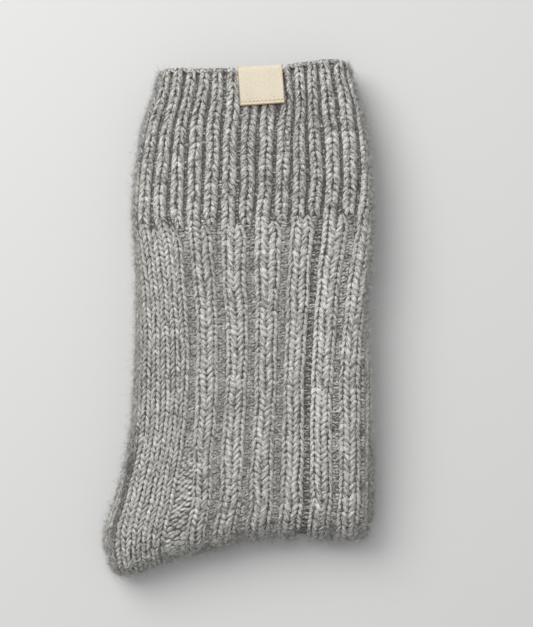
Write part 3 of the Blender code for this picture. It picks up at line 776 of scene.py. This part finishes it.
def purl_piece(name, sock, stitches, strand, rng):
    """Two low bowed bars of yarn across the groove for every purl stitch."""
    stitches = np.repeat(stitches, 2, axis=0)
    count = len(stitches)
    down, column, course, span = (stitches[:, k][:, None] for k in range(4))
    wide = sock.column_width(down[:, 0], column[:, 0])[:, None] * span
    upper_bar = np.tile((-1.0, 1.0), count // 2)[:, None]
    patch, pressed = in_patch(down, column), shut(down, column)
    plainer = 1.0 - PATCH_PLAIN * patch
    gathered = 1.0 - GATHERED * smooth(pressed - GATHERED_FROM) * (down > CUFF_LENGTH)
    down = down + upper_bar * course / 4 * gathered + rng.normal(0.0, BAR_OFF[0], (count, 1))
    down = down + sway_down(down, column)
    column = column + sway_across(down, column) + rng.normal(0.0, BAR_OFF[1], (count, 1))
    column = column + PATCH_SHIFT * upper_bar * patch
    a, c, u = strand.along[None, :], strand.across[None, :], strand.up[None, :]
    size = rng.normal(1.0, BAR_SPREAD, (count, 1))
    tilt = rng.normal(0.0, BAR_TILT, (count, 1))
    reach = (BAR_REACH + BAR_PAST / wide) * (1.0 - PATCH_SHORT * patch)
    at_column = column + a * reach * span
    at_down = down + c * BAR_TALL * gathered * size * (1.0 + PATCH_TALL * patch)
    at_down = at_down + (upper_bar * BAR_BOW * a * a + tilt * a) * plainer
    at_down = np.clip(at_down, *sock.knitted)
    thick = BAR_THICK * (1.0 - PRESSED_THIN * pressed)
    depth = sock.relief(down + 0 * a, column + 0 * a) + BAR_LOWER * plainer
    depth = np.minimum(depth + pressed, DEEPEST - 2 * thick) + thick * (1.0 - u)
    depth = depth + BAR_ENDS * a * a + rng.normal(0.0, BAR_OFF[2], (count, 1))
    places = sock.spot(at_down, at_column, np.minimum(depth, DEEPEST))
    # Painted shade: the bars are darker in the grooves, darker still where a groove is pressed
    # shut, and darker over the cuff, round the fold, over the lower sock and beside the heel.
    pressed_here = pressed * np.where(down < CUFF_LENGTH, 1.0, PRESSED_LEG)
    darker = BAR_SHADE * plainer + PRESSED_SHADE * pressed_here
    tones = row_tones(rng, stitches) - darker[:, 0]
    tones = tones - painted_shade_at(sock, down[:, 0], column[:, 0])
    lengths = (2 * reach * wide)[:, 0]
    return strand.join(name, places, lengths, BAR_AROUND, tones, BAR_EDGE)


def rim_piece(sock, strand, yarn, rng):
    """The cast-on edge: slanting turns of yarn over the rim, like a flat rope."""
    parts = []
    for depth, down in RIM_RINGS:
        column = np.arange(WALES, dtype=float)[:, None] + 0.5
        a, c, u = strand.along[None, :], strand.across[None, :], strand.up[None, :]
        low = down + rng.normal(0.0, TURN_OFF, (WALES, 1))
        wide = sock.column_width(low[:, 0] + 1.0, column[:, 0])[:, None]
        at_column = column + a * (TURN_REACH + TURN_PAST / wide)
        at_down = low + TURN_SLANT * a + TURN_TALL * c
        at_depth = depth - TURN_THICK * u + TURN_ENDS * a * a
        parts.append(sock.spot(at_down, at_column, at_depth))
    places = np.concatenate(parts)
    tones = rng.normal(0.0, RIM_TONE, len(places)) - RIM_SHADE
    lengths = np.full(len(places), TURN_LENGTH)
    piece = strand.join(sock.name + "_rim", places, lengths, RIM_AROUND, tones)
    return finish_knit(piece, sock, yarn)


def sway_down(down, column):
    """Rows of stitches aren't quite straight: a slow wave."""
    return 0.22 * np.sin(column * 0.52 + 0.9) * np.sin(down * 0.045 + 1.0)


def sway_across(down, column):
    """Nor are the columns: two quicker waves."""
    return 0.045 * np.sin(down * 0.13 + column * 0.9) + 0.03 * np.sin(down * 0.31 + column * 2.3)


def knitting(sock, stretch, columns, start, end, strands, yarn, rng):
    """All the stitches of one stretch: a piece of knit legs and a piece of purl bars."""
    name = sock.name + "_" + stretch
    stitches = list_stitches(sock, columns, start, end)
    knit = is_knit(np.floor(stitches[:, 1]), sock.place(stitches[:, 0]))
    knit = knit | (stitches[:, 3] > 1)
    pieces = [knit_piece(name + "_knit", sock, stitches[knit], strands[0], rng)]
    if (~knit).any():
        pieces.append(purl_piece(name + "_purl", sock, stitches[~knit], strands[1], rng))
    return [finish_knit(piece, sock, yarn) for piece in pieces]


# ---------------------------------------------------------------- the cloth under the stitches

SHELL_DEPTH = 1.6         # how far its middle lies below the crowns
SHELL_THICK = 0.5
SHELL_RAISED = 0.6        # how much higher it lies in the patch beside the heel
SHELL_ROUND, SHELL_ROWS = 120, 64
SHELL_BELOW = 0.7         # where it starts, behind the rim
CLOSES_FROM, CLOSES_OVER = 4.0, 3.5          # it starts to close so far before the toe's end


def cloth_shell(sock, material):
    """The sock's ground cloth: a thin tube on the solid's form."""
    deselect()
    bpy.ops.mesh.primitive_grid_add(x_subdivisions=SHELL_ROUND, y_subdivisions=SHELL_ROWS,
                                    size=2.0)
    piece = bpy.context.object
    piece.name = sock.name + "_cloth"
    around, low = read_grid(piece.data)
    down = SHELL_BELOW + (sock.end - 0.5 - SHELL_BELOW) * low
    arc = around * sock.girth(down)
    column = sock.column_at(down, arc)
    depth = sock.relief(down, column) + shut(down, column)
    depth = np.minimum(depth + SHELL_DEPTH - SHELL_RAISED * in_patch(down, column), DEEPEST)
    closing = smooth((down - (sock.end - CLOSES_FROM)) / CLOSES_OVER)
    depth = depth + (sock.half(down) - depth - 0.01) * closing
    x, n = sock.section(down, arc, depth)
    piece.data.vertices.foreach_set("co", (sock.in_space(down, x, n) * MM).ravel())
    piece.data.update()
    make_wall(piece, SHELL_THICK, merged=True)
    return finish_knit(piece, sock, material)


# ---------------------------------------------------------------- fuzz

FIBRE_HALF = 0.032        # half of a fibre's width
FIBRE_USUAL, FIBRE_SPREAD = 0.55, 0.5        # logarithm of the usual length, and its spread
FIBRE_SHORTEST, FIBRE_LONGEST = 0.8, 7.0
FIBRE_KNOTS = (0.0, 0.55, 1.0)               # a fibre's points, as shares of its length
FIBRE_RISE = (0.02, 0.42, 1.0)               # least, spread and most of its slope
FIBRE_BEND = 0.5
FIBRE_ROOT = 0.25         # how deep in the yarn it starts
FIBRE_LOWEST = 0.05       # nothing of it is nearer to the floor
FIBRES_OVER_RIM = -2.5
OPEN_CLOTH = 0.3          # fibres grow only where a groove is shut by less than this
BARE_SHADE = 8.0          # and where the yarn's painted shade is less than this, in tones
LAST_BEHIND = 45.0        # columns past this are counted back from the left edge, below 0
EDGE_MIDDLE, EDGE_SPREAD = 1.2, 1.6          # how far over the cloth from an edge, in mm
AT_FOLD = 5               # every fifth fibre stands at the fold
FOLD_TURN, FOLD_COLUMNS = (0.2, 0.7), (-7.0, 29.0)


def fuzz_piece(name, sock, down, column, longer, material, rng):
    """Loose fibres that stand off the yarn: thin tapering ribbons with a bend."""
    signed = np.where(column > LAST_BEHIND, column - WALES, column)
    kept = (shut(down, column) < OPEN_CLOTH) & (painted_shade_at(sock, down, signed) < BARE_SHADE)
    down, column = down[kept], column[kept]
    count = len(down)
    heading = rng.uniform(0.0, 2 * math.pi, count)
    length = longer * rng.lognormal(FIBRE_USUAL, FIBRE_SPREAD, count)
    length = np.clip(length, FIBRE_SHORTEST, FIBRE_LONGEST)
    least, spread, most = FIBRE_RISE
    rise = np.clip(np.abs(rng.normal(0.0, spread, count)), least, most) * length
    bend = rng.normal(0.0, FIBRE_BEND, count)
    wide = np.maximum(np.abs(sock.column_width(down, column)), 1.0)
    base = sock.relief(down, column)
    knots = []
    for share in FIBRE_KNOTS:
        angle = heading + bend * share
        at_down = down + np.cos(angle) * length * share
        at_column = column + np.sin(angle) * length * share / wide
        height = rise * math.sin(share * math.pi / 2) - FIBRE_ROOT
        at_down = np.clip(at_down, FIBRES_OVER_RIM, sock.knitted[1])
        knots.append(sock.spot(at_down, at_column, base * (1 - share) - height))
    knots = np.stack(knots, axis=1)
    knots[..., 2] = np.maximum(knots[..., 2], FIBRE_LOWEST)
    run = knots[:, 2] - knots[:, 0]
    side = np.cross(run, rng.normal(size=(count, 3)))
    side *= FIBRE_HALF / (np.linalg.norm(side, axis=1)[:, None] + 1e-9)
    points = np.stack((knots[:, 0] - side, knots[:, 0] + side,
                       knots[:, 1] - side, knots[:, 1] + side, knots[:, 2]), axis=1)
    offset = np.arange(count)[:, None] * 5
    quads = np.array((0, 1, 3, 2))[None, :] + offset
    tips = np.array((2, 3, 4))[None, :] + offset
    mesh = bpy.data.meshes.new(name)
    mesh.from_pydata((points.reshape(-1, 3) * MM).tolist(), [], quads.tolist() + tips.tolist())
    mesh.shade_smooth()
    piece = bpy.data.objects.new(name, mesh)
    bpy.context.scene.collection.objects.link(piece)
    return finish_knit(piece, sock, material)


def edge_spots(sock, count, rng):
    """Places along a sock's left and right edges and round its fold, where fuzz shows most."""
    down = rng.uniform(0.0, sock.foot_start, count)
    arc = rng.normal(EDGE_MIDDLE, EDGE_SPREAD, count)
    arc = np.where(np.arange(count) % 2 == 0, arc, sock.girth(down) / 2 - arc)
    column = sock.column_at(down, arc)
    at_fold = np.arange(count) % AT_FOLD == 0
    turn = rng.uniform(*FOLD_TURN, count) * (sock.foot_start - sock.fold_start)
    down = np.where(at_fold, sock.fold_start + turn, down)
    return down, np.where(at_fold, rng.uniform(*FOLD_COLUMNS, count), column)


# ---------------------------------------------------------------- label

TAPE_THICK = 0.4
WEAVE = 0.62              # two threads of the tape
TAPE_WAVE = (0.05, 0.7, 0.4)                 # its soft waves: height, pace and start
SEAM_UP = 1.5             # the seam's distance from the tape's lower edge
SEAM_DENT, SEAM_DENT_HALF = 0.22, 0.8        # how far the thread draws the tape in
SEAM_STITCH = 1.6
SEAM_SPACE = 0.12         # half of the space between two stitches
SEAM_THICK = 0.26
SEAM_SLANT, SEAM_UNEVEN = 0.22, 0.06
SEAM_LOW, SEAM_ARCH = 0.1, 0.2               # how deep a stitch lies, and how it arches


def tape_spot(sock, across, length, rise):
    """A point of the tape: in mm from its left edge, from its lower edge, and off its middle."""
    off = LABEL_GAP + LABEL_THICK / 2 + rise
    wrap = math.pi * WRAP_RADIUS
    front, inside = length < LABEL_DROP, length > LABEL_DROP + wrap
    angle = np.clip((length - LABEL_DROP) / WRAP_RADIUS, 0, math.pi)
    place = np.where(front, CUFF_LINE - LABEL_DROP + length,
                     CUFF_LINE + (WRAP_RADIUS + rise) * np.sin(angle))
    place = np.where(inside, CUFF_LINE - (length - LABEL_DROP - wrap), place)
    height = WRAP_MIDDLE + (WRAP_RADIUS + rise) * np.cos(angle)
    height = np.where(front, leg_half(place) + off, height)
    height = np.where(inside, leg_half(place) - CROWN_WALL - off, height)
    x = LABEL_LEFT + across + LABEL_LEAN * np.clip((CUFF_LINE - place) / LABEL_DROP, 0, 1)
    down, y = CUFF_LINE - place, place
    for _ in range(3):
        left, right = sock.leg_edges(y)
        points = sock.in_space(down, (x - left) / (right - left) * sock.width(down), height)
        y = points[..., 1]
    return points


def label_piece(sock, material):
    """A woven tape over the cuff's rim, in front down to its seam and inside a little way."""
    deselect()
    bpy.ops.mesh.primitive_grid_add(x_subdivisions=28, y_subdivisions=48, size=2.0)
    piece = bpy.context.object
    piece.name = "label_tape"
    mesh = piece.data
    across, length = read_grid(mesh)
    across = across * LABEL_WIDTH
    length = length * (LABEL_DROP + math.pi * WRAP_RADIUS + LABEL_TUCK)
    seamed = np.exp(-((length - SEAM_UP) / SEAM_DENT_HALF) ** 2)
    wave, pace, first = TAPE_WAVE
    rise = wave * np.sin(across * pace + first) - SEAM_DENT * seamed
    mesh.vertices.foreach_set("co", (tape_spot(sock, across, length, rise) * MM).ravel())
    layer = mesh.uv_layers.active
    layer.name = "tape"
    loops = np.zeros(len(mesh.loops), int)
    mesh.loops.foreach_get("vertex_index", loops)
    layer.data.foreach_set("uv", np.stack((across, length), axis=-1)[loops].ravel())
    mesh.update()
    make_wall(piece, TAPE_THICK)
    return finish_tape(piece, material)


def seam_piece(sock, strand, material, rng):
    """The row of thread stitches that holds the tape to the knitting."""
    count = int(LABEL_WIDTH / SEAM_STITCH) - 1
    middle = (np.arange(count)[:, None] + 1.0) * SEAM_STITCH
    a, c, u = strand.along[None, :], strand.across[None, :], strand.up[None, :]
    slant = rng.normal(SEAM_SLANT, SEAM_UNEVEN, (count, 1))
    across = middle + a * (SEAM_STITCH / 2 - SEAM_SPACE)
    length = SEAM_UP + a * slant + c * SEAM_THICK
    rise = TAPE_THICK / 2 - SEAM_LOW + SEAM_THICK * u - SEAM_ARCH * a * a
    places = tape_spot(sock, across, length, rise)
    lengths = np.full(count, SEAM_STITCH)
    piece = strand.join("label_seam", places, lengths, SEAM_STITCH, np.zeros(count))
    return finish_tape(piece, material)


# ---------------------------------------------------------------- finishes

YARN_TONES = ((0.24, 0.12), (0.39, 0.44), (0.52, 0.72), (0.68, 0.90))   # noise and grey
# The ground cloth is painted dark: painted shade between the stitches.
GROUND_SHADE_TONES = ((0.3, 0.04), (0.55, 0.13), (0.75, 0.25))
FIBRE_TONES = ((0.35, 0.28), (0.65, 0.68))
WOOL = (1.0, 0.983, 0.936)                   # a grey's own warmth
TONE_STEP = 0.03          # how much one tone changes the noise
CREAM, LIGHT_CREAM, OCHRE = (0.68, 0.60, 0.46), (0.86, 0.78, 0.64), (0.42, 0.27, 0.12)
THREAD, LIGHT_THREAD = (0.66, 0.56, 0.42), (0.86, 0.79, 0.66)
EDGE_OCHRE, CUT_OCHRE, HOLE_OCHRE = 0.35, 0.4, 0.3        # how wide the ochre is, in mm
OCHRE_SHARE = 0.75


def new_material(name, roughness):
    material = bpy.data.materials.new(name)
    material.use_nodes = True
    shader = material.node_tree.nodes["Principled BSDF"]
    shader.inputs["Roughness"].default_value = roughness
    return material, material.node_tree, shader


def add_node(tree, kind, **inputs):
    node = tree.nodes.new(kind)
    for key, value in inputs.items():
        node.inputs[key].default_value = value
    return node


def maths(tree, kind, *values):
    """A maths node on sockets and numbers."""
    node = tree.nodes.new("ShaderNodeMath")
    node.operation = kind
    for socket, value in zip(node.inputs, values):
        if isinstance(value, bpy.types.NodeSocket):
            tree.links.new(value, socket)
        else:
            socket.default_value = value
    return node.outputs[0]


def noise(tree, place, **inputs):
    node = add_node(tree, "ShaderNodeTexNoise", **inputs)
    tree.links.new(place, node.inputs["Vector"])
    return node.outputs[0]


def in_object(tree):
    return tree.nodes.new("ShaderNodeTexCoord").outputs["Object"]


def on_layer(tree, layer):
    node = tree.nodes.new("ShaderNodeUVMap")
    node.uv_map = layer
    return node.outputs[0]


def wound(tree, turn, lengthwise, crosswise):
    """Places on a strand, turned so that a pattern winds round it."""
    node = add_node(tree, "ShaderNodeMapping", Rotation=(0.0, 0.0, turn),
                    Scale=(lengthwise, crosswise, 1.0))
    tree.links.new(on_layer(tree, "yarn"), node.inputs[0])
    return node.outputs[0]


def colours(tree, value, stops):
    """A ramp of stops, each a position with a colour, or with a grey of the wool."""
    ramp = tree.nodes.new("ShaderNodeValToRGB")
    while len(ramp.color_ramp.elements) < len(stops):
        ramp.color_ramp.elements.new(0.5)
    for element, (position, colour) in zip(ramp.color_ramp.elements, stops):
        element.position = position
        if isinstance(colour, float):
            colour = tuple(colour * share for share in WOOL)
        element.color = colour + (1.0,)
    tree.links.new(value, ramp.inputs[0])
    return ramp.outputs[0]


def give(tree, shader, colour, height=None, strength=0.0, distance=0.0):
    """Give a shader its colour, and its fine relief where it has one, in mm."""
    tree.links.new(colour, shader.inputs["Base Color"])
    if height:
        bump = add_node(tree, "ShaderNodeBump", Strength=strength, Distance=distance * MM)
        tree.links.new(height, bump.inputs["Height"])
        tree.links.new(bump.outputs[0], shader.inputs["Normal"])


def yarn_material():
    """Melange yarn: light and dark fibres wound round the yarn, uneven along its length."""
    material, tree, shader = new_material("melange_yarn", 0.95)
    shader.inputs["Sheen Weight"].default_value = 0.15
    shader.inputs["Sheen Roughness"].default_value = 0.6
    shader.inputs["Specular IOR Level"].default_value = 0.2
    fibres = noise(tree, wound(tree, 0.30, 0.42, 1.9), Scale=1.0, Detail=2.0, Roughness=0.6)
    speckle = noise(tree, in_object(tree), Scale=1300.0, Detail=1.0, Roughness=0.6)
    grain = maths(tree, "MULTIPLY", maths(tree, "SUBTRACT", speckle, 0.5), 0.45)
    blend = maths(tree, "ADD", fibres, grain)
    # The tone attribute lowers the ramp: the melange's own tones and the painted shade of the
    # stitches.
    tone = tree.nodes.new("ShaderNodeAttribute")
    tone.attribute_name = "tone"
    lifted = maths(tree, "MULTIPLY_ADD", tone.outputs["Fac"], TONE_STEP, blend)
    give(tree, shader, colours(tree, lifted, YARN_TONES), blend, 0.8, 0.5)
    return material


def ground_material():
    """The cloth between the stitches, painted dark as the shade that lies there."""
    material, tree, shader = new_material("ground_knit_painted_shade", 1.0)
    speckle = noise(tree, in_object(tree), Scale=900.0, Detail=3.0, Roughness=0.6)
    give(tree, shader, colours(tree, speckle, GROUND_SHADE_TONES), speckle, 0.6, 0.6)
    return material


def fibre_material():
    """Single loose hairs, some light and some dark."""
    material, tree, shader = new_material("loose_fibre", 0.8)
    patches = noise(tree, in_object(tree), Scale=700.0, Detail=1.0)
    give(tree, shader, colours(tree, patches, FIBRE_TONES))
    return material


def tape_material():
    """A cream cotton tape in plain weave, ochre at its edges and at the needle's holes."""
    material, tree, shader = new_material("cream_tape", 0.85)
    place = on_layer(tree, "tape")
    split = tree.nodes.new("ShaderNodeSeparateXYZ")
    tree.links.new(place, split.inputs[0])
    x, y = split.outputs[0], split.outputs[1]
    warp, weft = (maths(tree, "SINE", maths(tree, "MULTIPLY", way, 2 * math.pi / WEAVE))
                  for way in (x, y))
    weave = maths(tree, "MULTIPLY", warp, weft)
    slubs = noise(tree, place, Scale=1.6, Detail=3.0, Roughness=0.7)
    uneven = maths(tree, "MULTIPLY_ADD", weave, 0.08, slubs)
    cloth = colours(tree, uneven, ((0.3, CREAM), (0.7, LIGHT_CREAM)))

    off_middle = maths(tree, "ABSOLUTE", maths(tree, "SUBTRACT", x, LABEL_WIDTH / 2))
    edge = maths(tree, "GREATER_THAN", off_middle, LABEL_WIDTH / 2 - EDGE_OCHRE)
    cut = maths(tree, "LESS_THAN", y, CUT_OCHRE)
    along_seam = maths(tree, "FRACT", maths(tree, "DIVIDE", x, SEAM_STITCH))
    off_hole = maths(tree, "MULTIPLY", maths(tree, "SUBTRACT", along_seam, 0.5), SEAM_STITCH)
    off_seam = maths(tree, "SUBTRACT", y, SEAM_UP)
    away = maths(tree, "ADD", maths(tree, "MULTIPLY", off_hole, off_hole),
                 maths(tree, "MULTIPLY", off_seam, off_seam))
    hole = maths(tree, "LESS_THAN", away, HOLE_OCHRE ** 2)
    ochre = maths(tree, "MAXIMUM", maths(tree, "MAXIMUM", edge, cut), hole)
    mix = tree.nodes.new("ShaderNodeMix")
    mix.data_type = "RGBA"
    mix.inputs["B"].default_value = OCHRE + (1.0,)
    tree.links.new(maths(tree, "MULTIPLY", ochre, OCHRE_SHARE), mix.inputs["Factor"])
    tree.links.new(cloth, mix.inputs["A"])
    give(tree, shader, mix.outputs["Result"], weave, 0.4, 0.15)
    return material


def thread_material():
    """Pale sewing thread."""
    material, tree, shader = new_material("cream_thread", 0.7)
    plies = noise(tree, wound(tree, 0.7, 3.0, 3.0), Scale=1.5, Detail=1.0)
    give(tree, shader, colours(tree, plies, ((0.35, THREAD), (0.65, LIGHT_THREAD))))
    return material


# ---------------------------------------------------------------- the photograph's view

CAMERA_X, CAMERA_Y = 11.1, 1.8
CAMERA_HEIGHT = 750.0
VIEW_TALL = 247.7         # how much the view's longer side covers at the socks' height
VIEW_LEVEL = 15.0
SENSOR = 36.0


def camera():
    data = bpy.data.cameras.new("camera")
    data.sensor_width = SENSOR
    data.lens = SENSOR * (CAMERA_HEIGHT - VIEW_LEVEL) / VIEW_TALL
    data.clip_start = 0.01
    seen = bpy.data.objects.new("camera", data)
    seen.location = Vector((CAMERA_X, CAMERA_Y, CAMERA_HEIGHT)) * MM
    bpy.context.scene.collection.objects.link(seen)
    bpy.context.scene.camera = seen


FLOOR_COLOUR = (0.73, 0.73, 0.725, 1.0)
FLOOR_SIZE, FLOOR_LOW = 4000.0, 0.2
SKY_COLOUR, SKY_STRENGTH = (0.97, 0.985, 1.0, 1.0), 0.39
LAMP_COLOUR = (1.0, 0.99, 0.97)
# name, place in metres, size in metres, power
LAMPS = (("overhead", (-0.1, 0.3, 1.2), 0.6, 2.5),
         ("window", (-0.56, 0.60, 0.82), 0.88, 9.6))


def floor():
    deselect()
    bpy.ops.mesh.primitive_plane_add(size=FLOOR_SIZE * MM, location=(0.0, 0.0, -FLOOR_LOW * MM))
    ground = bpy.context.object
    ground.name = "floor"
    material, _, shader = new_material("pale_floor", 0.7)
    shader.inputs["Base Color"].default_value = FLOOR_COLOUR
    ground.data.materials.append(material)


def lights():
    world = bpy.data.worlds.new("studio")
    world.use_nodes = True
    sky = world.node_tree.nodes["Background"]
    sky.inputs["Color"].default_value = SKY_COLOUR
    sky.inputs["Strength"].default_value = SKY_STRENGTH
    bpy.context.scene.world = world
    for name, place, size, power in LAMPS:
        data = bpy.data.lights.new(name, "AREA")
        data.shape = "DISK"
        data.size = size
        data.energy = power
        data.color = LAMP_COLOUR
        lamp = bpy.data.objects.new(name, data)
        lamp.location = place
        lamp.rotation_euler = (-Vector(place)).to_track_quat("-Z", "Y").to_euler()
        bpy.context.scene.collection.objects.link(lamp)


# ---------------------------------------------------------------- the whole heap

ALL_ROUND = range(WALES)
FRONT = range(-11, 34)    # columns that show from above and from the sides
LOWER_SIDES = list(range(-10, -2)) + list(range(23, 31))
TOE_KNIT = 12.0           # how much of the toe is knitted all round
LOWER_CUFF_KNIT = 24.0    # how much of the lower cuff is
FRONT_FIBRES, UPPER_EDGE_FIBRES, LOWER_EDGE_FIBRES = 58000, 28000, 13500
EDGE_LONGER = 1.3         # how much longer the fibres are at the edges


def main():
    bpy.context.scene.view_settings.view_transform = "Standard"
    camera()
    floor()
    lights()
    rng = np.random.default_rng(SEED)
    yarn, ground, fibre = yarn_material(), ground_material(), fibre_material()
    # A strand for knit legs and a strand for purl bars: where seen near, at the edges, beneath.
    fine = (Strand(6, 6), Strand(5, 4))
    coarse = (Strand(5, 4), Strand(4, 3))
    hidden = (Strand(4, 3), Strand(3, 3))
    upper, lower = Sock("upper"), Sock("lower")
    upper_toe, lower_toe = upper.end - TOE_KNIT, lower.end - TOE_KNIT
    parts = {upper: [], lower: []}

    for sock, stretch, columns, start, end, strands in (
            (upper, "cuff", FRONT, 0.0, CUFF_LENGTH, fine),
            (upper, "leg", FRONT, CUFF_LENGTH, upper.fold_start, fine),
            (upper, "fold", FRONT, upper.fold_start, upper.foot_start, fine),
            (upper, "foot", FRONT, upper.foot_start, upper_toe, hidden),
            (upper, "toe", ALL_ROUND, upper_toe, upper.end, coarse),
            (lower, "cuff", ALL_ROUND, 0.0, LOWER_CUFF_KNIT, coarse),
            (lower, "leg", LOWER_SIDES, LOWER_CUFF_KNIT, lower.fold_start, coarse),
            (lower, "fold", LOWER_SIDES, lower.fold_start, lower.foot_start, coarse),
            (lower, "foot", LOWER_SIDES, lower.foot_start, lower_toe, hidden),
            (lower, "toe", ALL_ROUND, lower_toe, lower.end, coarse)):
        parts[sock] += knitting(sock, stretch, columns, start, end, strands, yarn, rng)

    over_front = (rng.uniform(0.0, upper.foot_start, FRONT_FIBRES),
                  rng.uniform(FRONT[0] + 1, FRONT[-1] - 1, FRONT_FIBRES))
    for sock, name, spots, longer in (
            (upper, "upper_fuzz", over_front, 1.0),
            (upper, "upper_edge_fuzz", edge_spots(upper, UPPER_EDGE_FIBRES, rng), EDGE_LONGER),
            (lower, "lower_edge_fuzz", edge_spots(lower, LOWER_EDGE_FIBRES, rng), EDGE_LONGER)):
        parts[sock].append(fuzz_piece(name, sock, *spots, longer, fibre, rng))
    for sock in (upper, lower):
        parts[sock].append(rim_piece(sock, fine[1], yarn, rng))
    # The ground cloth under the stitches is painted dark, as shade.
    upper_shell, lower_shell = cloth_shell(upper, ground), cloth_shell(lower, ground)
    label = label_piece(upper, tape_material())
    seam = seam_piece(upper, fine[0], thread_material(), rng)


main()
